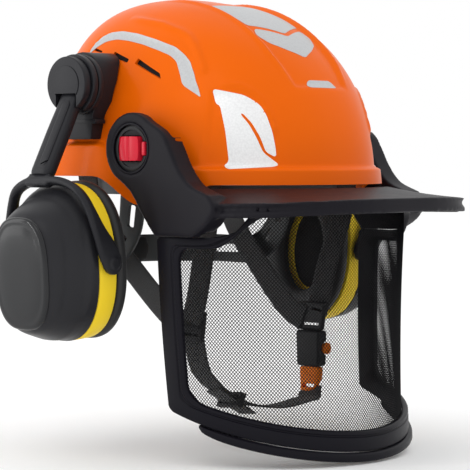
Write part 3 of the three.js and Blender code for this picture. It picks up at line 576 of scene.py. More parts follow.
def flareOut(y):
    front = mixed(dome["frontFlare"], dome["sideFlare"], ease(dome["templeStartY"], dome["templeLowY"], y))
    return mixed(front, dome["rearFlare"], ease(dome["templeEndY"], dome["rear"] / 2, y))


def bandTop(y):
    return mixed(dome["frontBand"], dome["rearBand"], ease(dome["templeLowY"], dome["earY"], y))


# Rings of the dome from the rim, or from a level bottom, up to near the apex.
def domeRings(grow, columns, rows, bottom=None):
    angles = np.arange(columns) * 2 * np.pi / columns
    y0 = planPoint(angles, dome["halfWidth"], dome["front"], dome["rear"])[1]
    top = dome["height"] + grow

    def ring(z, flareShare):
        flare = flareShare * flareOut(y0)
        side, front, rear = domeReach(z, grow)
        x, y = planPoint(angles, side + flare, front + flare, rear + flare)
        return np.stack([x, y, np.broadcast_to(z, x.shape)], axis=1)

    rings = []
    start = np.full(columns, float(bottom or 0))
    if bottom is None:
        rim, band = rimHeight(y0), bandTop(y0)
        edge = band - dome["bandEdge"]
        rings += [ring(mixed(rim, edge, t), 1 - 0.15 * t) for t in (0, 0.04, 0.2, 0.4, 0.6, 0.8, 0.93)]
        for t in np.linspace(0, 1, 7):
            rings.append(ring(edge + t * dome["bandEdge"], mixed(0.85, 0.06, ease(0, 1, t))))
        start = band
    for i in range(1, rows):
        share = math.sin(i / rows * math.pi / 2)
        fade = 0.06 * (1 - share) ** 6 if bottom is None else 0
        rings.append(ring(mixed(start, top, share), fade))
    return rings


# Landmarks of the moulded relief, on the wearer's right. Side ones are in Y and Z.
relief = {
    "troughHalfWidth": 31, "troughDepth": 2.2, "troughFootZ": 71, "crest": 1.5, "crestWidth": 1.9,
    "troughSpread": 0.16, "spreadBelow": 95, "spreadRun": 30,
    "sideTop": [
        (-84, 62), (-76, 78), (-69, 89.5), (-63, 95), (-53, 101), (-34, 107), (-14, 112), (4, 114.7),
        (17, 114), (27, 110), (34, 98),
    ],
    "sideDepth": 1.5, "sideCrest": 1.7,
    "sideRidge": [(4, 124), (-7, 122), (-31, 118), (-50, 112), (-58, 108), (-65, 102), (-73, 92), (-80, 82)],
    "cornerRidge": [(9, 73), (20, 71.5), (29, 67.5), (36, 60), (41, 50), (44, 40)],
    "cornerDepth": 1.3, "cornerCrest": 1.5, "cornerCrestWidth": 1.7,
}
cornerOut = Vector((-0.66, -0.75, 0)).normalized()  # which way the front corner of the shell faces
cornerAlong = Vector((-cornerOut.y, cornerOut.x, 0))  # towards the front


def ridgeOf(gap, width):
    return np.exp(-((gap / width) ** 2))


# How far the skin stands out at each place: the crown's trough, the side panel, then the front corner.
def reliefAt(x, y, z):
    side = np.abs(x)
    height = np.zeros(len(x))
    front = ease(8, -22, y)
    spread = relief["troughSpread"] * np.clip(relief["spreadBelow"] - z, 0, relief["spreadRun"])
    edge = relief["troughHalfWidth"]
    trough = ease(edge + 2.4, edge - 1.2, side + spread)
    foot = ease(relief["troughFootZ"] - 1.5, relief["troughFootZ"] + 3, z)
    height -= relief["troughDepth"] * trough * foot * front
    crestGap = np.abs(side - edge - 4 + spread)
    height += relief["crest"] * ridgeOf(crestGap, relief["crestWidth"]) * front * ease(72, 92, z)
    sideLine = np.array(relief["sideTop"], float)
    lid = np.interp(y, sideLine[:, 0], sideLine[:, 1])
    within = ease(-86, -80, y) * ease(38, 30, y) * ease(40, 62, side)
    height -= relief["sideDepth"] * ease(0, 2.2, lid - z) * ease(52, 72, z) * within
    sideGap = distanceTo(relief["sideRidge"], y, z)
    sideBump = ridgeOf(sideGap, relief["crestWidth"])
    height += relief["sideCrest"] * sideBump * ease(45, 60, side) * ease(12, -10, y)
    along = cornerAlong.x * -side + cornerAlong.y * y
    corner = (y < -60) * ease(48, 58, side) * (z < 90)
    ridgeLine = np.array(relief["cornerRidge"], float)
    cornerTop = np.interp(along, ridgeLine[:, 0], ridgeLine[:, 1]) - 4
    hollow = ease(0, 2, cornerTop - z) * ease(-1, 1, along - 0.15 * (z - 69))
    hollow *= ease(47, 45, along) * ease(11, 15, z)
    height -= relief["cornerDepth"] * hollow * corner
    cornerGap = distanceTo(relief["cornerRidge"], along, z)
    bump = ridgeOf(cornerGap, relief["cornerCrestWidth"])
    height += relief["cornerCrest"] * bump * (y < -60) * ease(45, 52, side)
    return height


def closeApex(name, rings):
    columns = len(rings[0])
    faces = ringFaces(len(rings), columns)
    points = np.vstack([*rings, rings[-1].mean(axis=0)])
    last = (len(rings) - 1) * columns
    faces += [(last + c, last + (c + 1) % columns, len(points) - 1) for c in range(columns)]
    return squareUp(meshPiece(name, points, faces))


def pressRelief(piece):
    mesh = piece.data
    count = len(mesh.vertices)
    place, normal = np.empty(count * 3), np.empty(count * 3)
    mesh.vertices.foreach_get("co", place)
    mesh.vertex_normals.foreach_get("vector", normal)
    place, normal = place.reshape(-1, 3), normal.reshape(-1, 3)
    if (normal * place).sum() < 0:
        normal = -normal
    x, y, z = place.T / mm
    place += normal * reliefAt(x, y, z)[:, None] * mm
    mesh.vertices.foreach_set("co", place.ravel())
    mesh.update()


ventPlan = {
    "lengths": (26, 19, 12), "height": 4.4, "slopeDeg": 17, "y": -35, "z": 85, "pitch": 29,
    "turnsDeg": (25, 17, 12), "drops": (0, 0.5, 3),
}


# Tapered slots: each is blunt at the rear and narrows to the front, where the first one also dips.
def ventCutters(side, grow=0):
    slope = math.radians(ventPlan["slopeDeg"])
    cutters = []
    for i, length in enumerate(ventPlan["lengths"]):
        box = addBox("ventCutter", (side * 85, 0, 0), (60, length + 2 * grow, ventPlan["height"] + 2 * grow))
        for vertex in box.data.vertices:
            if vertex.co.y < 0:
                vertex.co.z *= 0.7
                vertex.co.y -= 0.004 if vertex.co.z < 0 and i == 0 else 0
            if i == 2:
                vertex.co.z *= 0.5
        middle = ventPlan["y"] + i * ventPlan["pitch"]
        rise = ventPlan["z"] + i * ventPlan["pitch"] * math.tan(slope) - ventPlan["drops"][i]
        turn = math.radians(ventPlan["turnsDeg"][i])
        box.data.transform(Matrix.Translation((0, middle * mm, rise * mm)) @ Matrix.Rotation(turn, 4, "X"))
        cutters.append(roundEdges(box, 0.8, 2))
    return cutters


def outerShell():
    shell = closeApex("shellSkin", domeRings(0, dome["columns"], dome["domeRows"]))
    pressRelief(shell)
    corners = [vertex.co.copy() for vertex in shell.data.vertices]
    surface = BVHTree.FromPolygons(corners, [tuple(face.vertices) for face in shell.data.polygons])
    applyModifier(shell, "SOLIDIFY", thickness=dome["wall"] * mm, offset=-1)
    for side in (1, -1):
        for cutter in ventCutters(side):
            combine(shell, cutter, "DIFFERENCE")
    shell.name = "shell"
    finishPiece(shell, "helmet", "shellOrange", ["outer_shell"], 50)
    return surface


shellSurface = outerShell()
print("shell ready")

# film stickers on the shell

# Outlines of one half or one side: the nose ones in X and Y, the side one in Y and Z, the corner one along
# its face and in Z.
stickers = {
    "noseUpper": [(0, -42), (27, -38), (29, -60), (28, -77), (0, -89.5)],
    "noseLower": [(0, -92.5), (26, -82), (30, -88), (25, -97), (14, -104), (0, -110)],
    "sideBand": [
        (33, 97), (31, 104), (26, 110), (17, 113.4), (4, 114), (-14, 111.4), (-34, 106.4), (-53, 100.2),
        (-62, 94.4), (-68.5, 88.8), (-75.5, 77.6), (-84, 62.4), (-76, 67), (-67.6, 72), (-63.2, 80.5),
        (-57.5, 89.4), (-50.6, 94), (-40, 97.8), (-23.5, 102.8), (-7, 106.2), (7, 107.8), (18, 106.6),
        (28, 102),
    ],
    "corner": [
        (0, 69), (9, 67.3), (22, 64.5), (28.5, 61), (34, 56.8), (38, 50), (42, 38), (44, 27), (44.6, 19.5),
        (37, 23.5), (33.2, 34), (27.2, 44.5), (20.6, 51.6), (19.4, 50.4), (25.2, 43.4), (30.6, 33.4),
        (35, 23.2), (46.5, 14.5), (43, 13), (9, 11.3), (7, 14), (10.6, 16.5), (8.3, 39), (5, 57), (2.2, 58),
    ],
    "slot": [(0, 70.6), (14.5, 70.6), (16, 72), (12, 76), (0, 76)],
}


filmPlan = {"lift": 0.12, "thickness": 0.35, "cell": 3, "gridReach": 130, "gridShift": 0.37, "cornerCut": 1.6}


# Cuts each corner off an outline twice, by at most a couple of millimetres.
def softCorners(outline):
    reach = filmPlan["cornerCut"]
    for _ in range(2):
        cut = []
        for i, (u, v) in enumerate(outline):
            for other in (outline[i - 1], outline[(i + 1) % len(outline)]):
                gap = math.hypot(other[0] - u, other[1] - v)
                share = min(0.25, reach / gap)
                cut.append((u + (other[0] - u) * share, v + (other[1] - v) * share))
        outline = cut
        reach *= 0.4
    return outline


# A flat outline cut into a grid, each point sent "inward" from "placeAt" until it meets the shell.
def filmPiece(name, outline, placeAt, inward, lift=filmPlan["lift"]):
    shape = bmesh.new()
    shape.faces.new([shape.verts.new((u, v, 0)) for u, v in softCorners(outline)])
    reach = filmPlan["gridReach"]
    for axis in (Vector((1, 0, 0)), Vector((0, 1, 0))):
        for cutAt in range(-reach, reach + 1, filmPlan["cell"]):
            every = shape.verts[:] + shape.edges[:] + shape.faces[:]
            place = axis * (cutAt + filmPlan["gridShift"])
            bmesh.ops.bisect_plane(shape, geom=every, plane_co=place, plane_no=axis)
    for vertex in list(shape.verts):
        hit = shellSurface.ray_cast(placeAt(vertex.co.x, vertex.co.y) * mm, inward)
        vertex.co = hit[0] - inward.normalized() * lift * mm
    bmesh.ops.recalc_face_normals(shape, faces=shape.faces)
    mesh = bpy.data.meshes.new(name)
    shape.to_mesh(mesh)
    shape.free()
    piece = bpy.data.objects.new(name, mesh)
    bpy.context.scene.collection.objects.link(piece)
    if sum(face.normal.dot(inward) for face in mesh.polygons) > 0:
        mesh.flip_normals()
    return applyModifier(piece, "SOLIDIFY", thickness=filmPlan["thickness"] * mm, offset=0)


def bothHalves(outline):
    return outline + [(-u, v) for u, v in reversed(outline) if abs(u) > 0.01]


startOut = 300  # where the rays start, well outside the shell


def aboveStart(u, v):
    return Vector((u, v, startOut))


def frontStart(u, v):
    return Vector((u, -startOut, v))


def sideStart(u, v):
    return Vector((-startOut, u, v))


def cornerStart(u, v):
    return cornerOut * startOut + cornerAlong * u + Vector((0, 0, v))


down, back = Vector((0, 0, -1)), Vector((0, 1, 0))
films = [
    filmPiece("filmNoseUpper", bothHalves(stickers["noseUpper"]), aboveStart, down),
    filmPiece("filmNoseLower", bothHalves(stickers["noseLower"]), aboveStart, down),
    filmPiece("filmSlot", bothHalves(stickers["slot"]), frontStart, back, 0.05),
]
for film in films:
    finishPiece(film, "helmet", "filmGrey")

for name, key, start, inward, finish in (
    ("filmSide", "sideBand", sideStart, Vector((1, 0, 0)), "filmGrey"),
    ("filmCorner", "corner", cornerStart, -cornerOut, "filmWhite"),
):
    right = filmPiece(name + "Right", stickers[key], start, inward)
    left = mirroredCopy(right, name + "Left")
    for piece in (left, right):
        finishPiece(piece, "helmet", finish)
print("film stickers ready")


# visor

pivotPlace = {"y": -48, "z": 26}
armPlan = {
    "inner": 112, "outer": 121, "flankInner": 103.5, "headRadius": 26, "relief": 35, "capHole": 17.9,
    "front": [(-76, -33), (-57, -25), (-47, -14), (-39, 0), (-32, 11), (-16.7, 19.9)],
    "rear": [(16.7, -19.9), (1, -31), (-10, -46), (-18, -56), (-23.5, -62.5)],
    "foot": [(-60, -62.5), (-74, -54), (-82, -42), (-76, -33)],
}
peakPlan = {
    "halfWidth": 118, "centreY": -95, "reach": 115, "power": 3, "startDeg": 26, "gap": 2.2, "innerZ": -2,
    "outerZ": -9, "sideDrop": 4, "thickness": 3.2, "lip": 10, "groove": 2.4, "steps": 120,
}


# Side view of an arm in Y and Z, from the pivot's centre.
def armOutline():
    def curve(key, steps):
        return smoothPath([(0, y, z) for y, z in armPlan[key]], steps)[:, 1:]

    turns = np.radians(np.arange(124, -51, -6))
    head = armPlan["headRadius"] * np.stack([np.cos(turns), np.sin(turns)], axis=1)
    return np.vstack([curve("front", 30), head, curve("rear", 20)[1:], curve("foot", 14)[:-1]])


def plateAcrossX(name, outline, fromX, toX):
    outline = np.asarray(outline, float)
    rings = [np.column_stack([np.full(len(outline), x), outline]) for x in (fromX, toX)]
    return skinPiece(name, rings)


def visorArm():
    outline = armOutline() + (pivotPlace["y"], pivotPlace["z"])
    arm = plateAcrossX("arm", outline, armPlan["flankInner"], armPlan["outer"])
    pocket = plateAcrossX("pocket", outline + (8, -4), armPlan["flankInner"] - 1, armPlan["inner"])
    centre = (armPlan["inner"] - 8, pivotPlace["y"], pivotPlace["z"])
    combine(arm, pocket, "DIFFERENCE")
    combine(arm, addRod("relief", armPlan["relief"], 16, centre, sides=96), "DIFFERENCE")
    combine(arm, addRod("capHole", armPlan["capHole"], 60, centre, sides=96), "DIFFERENCE")
    return arm


def peakPlate():
    turn = np.linspace(0, 1, peakPlan["steps"] + 1)
    start = peakPlan["startDeg"]
    innerAngle = np.radians(mixed(180 + start, 360 - start, turn))
    outerAngle = np.radians(mixed(180, 360, turn))
    rimY = planPoint(innerAngle, dome["halfWidth"], dome["front"], dome["rear"])[1]
    out = flareOut(rimY) + peakPlan["gap"]
    ix, iy = planPoint(innerAngle, dome["halfWidth"] + out, dome["front"] + out, dome["rear"] + out)
    innerZ = np.minimum(rimHeight(rimY), 0) + peakPlan["innerZ"]
    edgeZ = peakPlan["outerZ"] - peakPlan["sideDrop"] * np.cos(outerAngle) ** 2
    power = 2 / peakPlan["power"]

    def edge(inset):
        x = (peakPlan["halfWidth"] - inset) * signedPower(np.cos(outerAngle), power)
        y = (peakPlan["reach"] - inset) * signedPower(np.sin(outerAngle), power) + peakPlan["centreY"]
        return x, y

    thick, lip = peakPlan["thickness"], peakPlan["lip"]
    ox, oy = edge(0)
    lx, ly = edge(thick)

    def across(share, rise):
        sheetZ = mixed(innerZ, edgeZ, share) + rise * np.sin(np.pi * share)
        return np.stack([mixed(ix, ox, share), mixed(iy, oy, share), sheetZ], axis=1)

    def below(share):
        sides = mixed(lx, ix, share), mixed(ly, iy, share), mixed(edgeZ, innerZ, share) - thick
        return np.stack(sides, axis=1)

    lines = [across(s, -1.0) for s in (0, 0.15, 0.35, 0.55, 0.75, 0.9, 0.97)]
    groove = peakPlan["groove"] * ease(0.2, 0.7, np.abs(np.cos(outerAngle)))
    for share, depth in ((0.04, 0), (0.2, 1), (0.5, 1), (0.64, 0), (1, 0)):
        gx, gy = edge(groove * depth)
        lines.append(np.stack([gx, gy, edgeZ - lip * share], axis=1))
    lines += [np.stack([lx, ly, edgeZ - lip], axis=1), *[below(s) for s in (0, 0.3, 0.7, 1)]]
    return skinPiece("peak", np.stack(lines, axis=1))


def visorCarrier():
    left = visorArm()
    right = mirroredCopy(left, "armRight")
    carrier = peakPlate()
    combine(carrier, left, "UNION")
    combine(carrier, right, "UNION")
    mouldTogether(carrier, 1.35, 5)
    carrier.name = "visorCarrier"
    return finishPiece(carrier, "visor", "visorBlack", ["visor_carrier"], 60)


visorPlan = {
    "halfWidth": 117, "reach": 105, "centreY": -70, "lean": 9, "taper": 8, "frontTop": -14, "sideTop": -37,
    "frontBottom": -192, "sideBottom": -161, "depth": 5, "sideBand": 20, "bottomBand": 15, "windowCorner": 14,
    "lipHeight": 7, "lipProud": 2.5, "lipHalfDeg": 75,
}
meshPlan = {"pitch": 1.9, "wire": 0.62, "step": 5, "halfDeg": 82.5, "inset": 5.4, "overlap": 4}


def visorPoint(phi, z, inset):
    drop = np.clip((visorPlan["sideTop"] - z) / (visorPlan["sideTop"] - visorPlan["frontBottom"]), 0, 1)
    side = visorPlan["halfWidth"] - visorPlan["taper"] * drop - inset
    reach = visorPlan["reach"] - visorPlan["taper"] * drop - inset
    centreY = visorPlan["centreY"] - visorPlan["lean"] * drop * drop
    return np.stack(np.broadcast_arrays(side * np.sin(phi), centreY - reach * np.cos(phi), z), axis=-1)


def turnedShare(phi):
    return np.abs(phi) / (math.pi / 2)


def visorTop(phi):
    return mixed(visorPlan["frontTop"], visorPlan["sideTop"], ease(0.5, 0.67, turnedShare(phi)))


def visorBottom(phi):
    return mixed(visorPlan["frontBottom"], visorPlan["sideBottom"], turnedShare(phi) ** 1.8)


def windowTop(phi):
    return mixed(visorPlan["frontTop"] - 7, visorPlan["sideTop"] - 8, ease(0.47, 0.73, turnedShare(phi)))


def windowBottom(phi):
    return visorBottom(phi) + visorPlan["bottomBand"]


meanRadius = (visorPlan["halfWidth"] + visorPlan["reach"]) / 2


# A closed outline round the visor in turn and height: top edge, right side, bottom edge, left side.
def visorLoop(halfTurn, topAt, bottomAt, corner, topCorner):
    def cornerArc(side, vertical, radius):
        reach = halfTurn - radius / meanRadius
        arc = []
        for a in np.linspace(0, math.pi / 2, 9):
            phi = side * (reach + math.sin(a) * radius / meanRadius)
            edge = topAt(side * reach) if vertical > 0 else bottomAt(side * reach)
            drift = (topAt(phi) if vertical > 0 else bottomAt(phi)) - edge
            arc.append((phi, edge + drift * math.cos(a) - vertical * radius * (1 - math.cos(a))))
        return arc

    topReach, lowReach = halfTurn - topCorner / meanRadius, halfTurn - corner / meanRadius
    top = [(phi, float(topAt(phi))) for phi in np.linspace(-topReach, topReach, 90)]
    low = [(phi, float(bottomAt(phi))) for phi in np.linspace(lowReach, -lowReach, 90)]
    topRight, lowRight = cornerArc(1, 1, topCorner), cornerArc(1, -1, corner)[::-1]
    lowLeft, topLeft = cornerArc(-1, -1, corner), cornerArc(-1, 1, topCorner)[::-1]
    right = [(halfTurn, z) for z in np.linspace(topRight[-1][1], lowRight[0][1], 32)]
    left = [(-halfTurn, z) for z in np.linspace(lowLeft[-1][1], topLeft[0][1], 32)]
    rightSide = topRight[1:-1] + right + lowRight[1:-1]
    leftSide = lowLeft[1:-1] + left + topLeft[1:-1]
    return np.array(top + rightSide + low + leftSide, float)


def visorFrame():
    outside = visorLoop(math.pi / 2, visorTop, visorBottom, 5, 3)
    bandTurn = visorPlan["sideBand"] / meanRadius
    window = visorLoop(math.pi / 2 - bandTurn, windowTop, windowBottom, visorPlan["windowCorner"], 9)
    depth = visorPlan["depth"]
    # share of the way from the outer edge to the window, and how deep the face lies there
    section = [
        (0, depth), (0, 1.1), (0.03, 0.3), (0.1, 0), (0.6, 0), (0.66, 0.1), (0.7, 0.9), (0.76, 0.9),
        (0.8, 0.1), (0.94, 0.2), (0.985, 0.9), (1, 1.8), (1, depth - 0.6), (0.97, depth),
    ]
    rings = [visorPoint(*mixed(outside, window, share).T, inset) for share, inset in section]
    frameRing = hoopPiece("visorFrame", rings)
    return finishPiece(frameRing, "visor", "frameBlack", ["visor_frame"], 40)


def visorLip():
    turns = np.radians(np.linspace(-visorPlan["lipHalfDeg"], visorPlan["lipHalfDeg"], 121))
    ends = np.sqrt(np.clip(1 - (np.abs(turns) / turns[-1]) ** 14, 0, 1))[:, None]
    high = visorPlan["lipHeight"] * (0.35 + 0.65 * ends)
    proud = visorPlan["lipProud"] * (0.1 + 0.9 * ends)
    # share of the height, share of how far it stands proud, and depth behind the face
    section = [
        (0.03, 0, 4.7), (0.03, 0, 0.6), (0.12, 0.75, 0), (0.3, 1, 0), (0.75, 1, 0), (0.93, 0.8, 0),
        (1, 0.2, 0), (1, 0, 4.2), (0.93, 0, 4.9),
    ]
    base = visorBottom(turns)[:, None] - 0.4
    lines = [visorPoint(turns[:, None], base - high * s, depth - proud * p)[:, 0] for s, p, depth in section]
    lip = skinPiece("visorLip", np.stack(lines, axis=1))
    return finishPiece(lip, "visor", "frameBlack", ["visor_lip"], 50)


# Woven wires on both diagonals of the window; each ends behind the frame.
def visorMesh():
    limit = math.radians(meshPlan["halfDeg"])
    gap = meshPlan["pitch"] * math.sqrt(2)
    points, faces = [], []
    radius = meshPlan["wire"] / 2
    for way in (1, -1):
        inset = meshPlan["inset"] + (0.25 if way > 0 else 0.62)
        across = limit * meanRadius
        start = -across - 200
        while start < across + 200:
            z = np.arange(-188, -14, meshPlan["step"] / math.sqrt(2))
            phi = (start + way * (z + 100)) / meanRadius
            top, low = windowTop(phi) + meshPlan["overlap"], windowBottom(phi) - meshPlan["overlap"]
            inside = (np.abs(phi) < limit) & (z < top) & (z > low)
            run = np.flatnonzero(inside)
            start += gap
            if len(run) < 2:
                continue
            for piece in np.split(run, np.flatnonzero(np.diff(run) > 1) + 1):
                if len(piece) < 2:
                    continue
                path = visorPoint(phi[piece], z[piece], inset)
                sides = []
                for turn in range(3):
                    angle = turn * 2 * math.pi / 3
                    lifted = visorPoint(phi[piece], z[piece], inset - radius * 2 * math.cos(angle))
                    out = (lifted - path) / 2
                    turned = phi[piece]
                    slide = np.stack([np.cos(turned), np.sin(turned), np.full(len(piece), -way)], axis=1)
                    sides.append(path + out + slide / math.sqrt(2) * radius * math.sin(angle))
                ring = np.stack(sides, axis=1)
                first = len(points)
                points.extend(ring.reshape(-1, 3))
                for r in range(len(piece) - 1):
                    for c in range(3):
                        d, base = (c + 1) % 3, first + r * 3
                        faces.append((base + c, base + d, base + 3 + d, base + 3 + c))
                faces.append((first + 2, first + 1, first))
                faces.append(tuple(first + (len(piece) - 1) * 3 + c for c in range(3)))
    woven = squareUp(meshPiece("visorMesh", np.array(points), faces))
    return finishPiece(woven, "visor", "wireBlack", ["visor_mesh"], 80)


pivotPlan = {
    "capRadius": 16.9, "capDepth": 6.6, "capX": 115.9, "capSteps": [(1.2, 0.6), (2.2, -1.2)], "holeX": 118,
    "button": (9.6, 19.4, 17.4), "buttonX": 118.9, "buttonHole": (26, 20.8, 18.8), "buttonCuts": 15,
    "tab": (7.6, 3.0, 9.8), "tabX": 117.9, "tabAhead": 13.5, "tabHole": (26, 3.8, 10.6),
    "ringRadius": 18.6, "ringDepth": 1.5, "ringX": 120.3,
}


def pivotCap():
    y, z = pivotPlace["y"], pivotPlace["z"]
    centre = (pivotPlan["capX"], y, z)
    cap = addRod("pivotCapLeft", pivotPlan["capRadius"], pivotPlan["capDepth"], centre, sides=72)
    stepFace(cap, pivotPlan["capSteps"])
    hole = addBox("buttonHole", (pivotPlan["holeX"], y, z), pivotPlan["buttonHole"])
    combine(cap, roundEdges(hole, 1.6, 4, 60), "DIFFERENCE")
    tabHole = addBox("tabHole", (pivotPlan["holeX"], y - pivotPlan["tabAhead"], z), pivotPlan["tabHole"])
    combine(cap, roundEdges(tabHole, 0.6, 2, 60), "DIFFERENCE")
    roundEdges(cap, 0.3, 2, 40)
    finishPair(cap, "visor", "trimBlack", ["pivot_cap_{side}"])


# The button's face is a low barrel with a groove down its middle.
def releaseButton():
    y, z = pivotPlace["y"], pivotPlace["z"]
    depth, width, height = pivotPlan["button"]
    button = addBox("releaseButtonLeft", (pivotPlan["buttonX"], y, z), pivotPlan["button"])
    activate(button)
    bpy.ops.object.mode_set(mode="EDIT")
    bpy.ops.mesh.select_all(action="SELECT")
    bpy.ops.mesh.subdivide(number_cuts=pivotPlan["buttonCuts"])
    bpy.ops.object.mode_set(mode="OBJECT")
    for vertex in button.data.vertices:
        share = (vertex.co.x / mm - pivotPlan["buttonX"]) / depth + 0.5
        v, w = vertex.co.y / mm - y, vertex.co.z / mm - z
        rise = (w / (height / 2)) ** 2
        barrel = 1.6 * (v / (width / 2)) ** 2 + 0.5 * rise
        groove = 1.1 * math.exp(-((v / 0.9) ** 2))
        vertex.co.y = (y + v * (1 - 0.1 * share * rise)) * mm
        vertex.co.x -= (barrel + groove) * mm if share > 0.9 else 0
    roundEdges(button, 0.9, 3, 50)
    finishPair(button, "release_{side}", "releaseRed", ["release_button_{side}"])


def pivotParts():
    y, z = pivotPlace["y"], pivotPlace["z"]
    tab = addBox("releaseTabLeft", (pivotPlan["tabX"], y - pivotPlan["tabAhead"], z), pivotPlan["tab"])
    roundEdges(tab, 0.7, 3, 50)
    finishPair(tab, "release_{side}", "releaseRed", ["release_tab_{side}"])
    centre = (pivotPlan["ringX"], y, z)
    ring = addRod("pivotRingLeft", pivotPlan["ringRadius"], pivotPlan["ringDepth"], centre, sides=72)
    combine(ring, addRod("ringHole", pivotPlan["capRadius"], 6, centre, sides=72), "DIFFERENCE")
    roundEdges(ring, 0.5, 3, 40)
    finishPair(ring, "visor", "frameBlack")
    socket = fromCad("visor_socket_left", "visorSocketLeft", 0.6, 2)
    finishPair(socket, "helmet", "trimBlack", ["visor_socket_{side}"])


visorCarrier()
visorFrame()
visorLip()
visorMesh()
pivotCap()
releaseButton()
pivotParts()
print("visor ready")


# ear muffs

# discs of the hub: radius, and where it starts and ends in X
hubPlan = {
    "y": 4, "z": 73, "notch": (20, 21.6, 60), "notchTop": 66.2,
    "discs": [
        (22, 117.9, 122.2), (20.6, 122, 123.4), (22, 123.2, 128.2), (19, 128, 129.2), (20.2, 129, 135.2),
        (13.5, 135, 135.8),
    ],
}
muffArmPlan = {"x": 129.3, "topZ": 62, "bottomZ": 6, "flareDeg": 28, "width": 20, "thickness": 11}
yokePlan = {"width": 8, "thickness": 6, "reach": 46.8, "pin": 3.5, "boss": 8}
cupPlan = {
    "pin": (140, -3, -56), "tiltDeg": 4, "halfWidth": 42, "halfHeight": 57, "power": 2.35, "columns": 96,
    "bandHalf": 8.5, "bandWall": 8, "depth": 36, "wall": 3, "gap": 0.3,
}
# share of the depth, share of the width, share of the height, drop in millimetres
cupStations = [
    (0, 1, 1, 0), (0.15, 0.985, 0.97, 0.5), (0.38, 0.94, 0.91, 3), (0.68, 0.85, 0.83, 3.5),
    (0.9, 0.74, 0.76, 4), (1, 0.64, 0.70, 4),
]
# the cup's panel: how far out, how far in from its edge, and how square
coverPlan = {
    "halfWidth": 27.4, "halfHeight": 40.4, "drop": 4,
    "steps": [
        (0, 0, 2.8), (1.0, 0.1, 2.8), (1.9, 0.8, 2.8), (2.4, 1.8, 2.8), (2.55, 3.4, 2.8), (2.4, 4.6, 2.8),
        (2.6, 6, 2.8), (2.95, 12, 2.7), (3.0, 19, 2.6),
    ],
}


def ontoCup(points):
    points = np.asarray(points, float)
    tilt = math.radians(cupPlan["tiltDeg"])
    x, y, z = points[..., 0], points[..., 1], points[..., 2]
    px, py, pz = cupPlan["pin"]
    turnedX = px + x * math.cos(tilt) + z * math.sin(tilt)
    turnedZ = pz - x * math.sin(tilt) + z * math.cos(tilt)
    return np.stack([turnedX, py + y, turnedZ], axis=-1)


def cupOval(x, halfWidth, halfHeight, drop, power=None):
    y, z = ovalRing(halfWidth, halfHeight, power or cupPlan["power"], cupPlan["columns"])
    return np.stack([np.full(len(y), float(x)), y, z - drop], axis=1)


def muffHub():
    y, z = hubPlan["y"], hubPlan["z"]
    discs = []
    for radius, low, high in hubPlan["discs"]:
        disc = addRod("disc", radius, high - low, ((low + high) / 2, y, z), sides=72)
        discs.append(roundEdges(disc, 0.7 if high - low > 2 else 0.25, 3, 50))
    hub = discs[0]
    for disc in discs[1:]:
        combine(hub, disc, "UNION")
    notch = addBox("armNotch", (133, y, hubPlan["notchTop"] - hubPlan["notch"][2] / 2), hubPlan["notch"])
    combine(hub, notch, "DIFFERENCE")
    hub.name = "muffHubLeft"
    return finishPair(hub, "muff_hub_{side}", "muffBlack", ["muff_hub_{side}"], 40)


def armLine():
    flare = math.radians(muffArmPlan["flareDeg"])
    top = np.array([muffArmPlan["x"], hubPlan["y"], muffArmPlan["topZ"]])
    slope = np.array([math.sin(flare), 0, -math.cos(flare)])
    length = (muffArmPlan["topZ"] - muffArmPlan["bottomZ"]) / math.cos(flare)
    return top, slope, length


def muffArm():
    top, slope, length = armLine()
    outward = np.array([-slope[2], 0, slope[0]])
    shares = np.concatenate([[-0.075, -0.068, -0.05, -0.02], np.linspace(0.03, 0.93, 19), [0.965, 0.99, 1.0]])
    path = top + slope * length * shares[:, None]
    middle = np.ones(19)
    widen = mixed(0.9, 1.0, ease(0.02, 0.5, shares))
    widen *= np.concatenate([[0.6, 0.82, 0.95, 1], middle, [0.98, 0.93, 0.85]])
    deep = np.concatenate([[0.45, 0.75, 0.93, 1], middle, [0.97, 0.9, 0.8]])
    taper = np.stack([widen, deep], axis=1)
    wide, thick = muffArmPlan["width"], muffArmPlan["thickness"]
    arm = sweepPiece("muffArm", path, (0, 1, 0), wide, thick, 3.2, 28, taper)
    ridgeShares = np.linspace(0.06, 0.9, 16)
    ridgePath = top + slope * length * ridgeShares[:, None] + outward * 5.1
    ridgePath[:, 1] -= 2.4
    fade = np.clip(np.minimum(ridgeShares - 0.03, 0.93 - ridgeShares) / 0.06, 0.1, 1)
    ridge = sweepPiece("ridge", ridgePath, (0, 1, 0), 8, 2.2, 3, 16, fade)
    combine(arm, ridge, "UNION")
    groove = addBox("groove", (0, 0, 0), (3, 8, 1.0))
    groove.data.transform(Matrix.Rotation(math.radians(-24), 4, "X"))
    spot = top + slope * length * 0.86 + outward * 5.6 + np.array([0, -4, 0])
    groove.data.transform(Matrix.Translation(Vector(spot) * mm))
    combine(arm, groove, "DIFFERENCE")
    slot = addBox("stemSlot", (0, 0, -30), (5.4, 10.8, 60))
    slot.data.transform(Matrix.Rotation(-math.radians(muffArmPlan["flareDeg"]), 4, "Y"))
    slot.data.transform(Matrix.Translation(Vector(top + slope * (length - 32)) * mm))
    combine(arm, slot, "DIFFERENCE")
    arm.name = "muffArmLeft"
    return finishPair(arm, "muff_arm_{side}", "muffBlack", ["muff_arm_{side}"], 40)


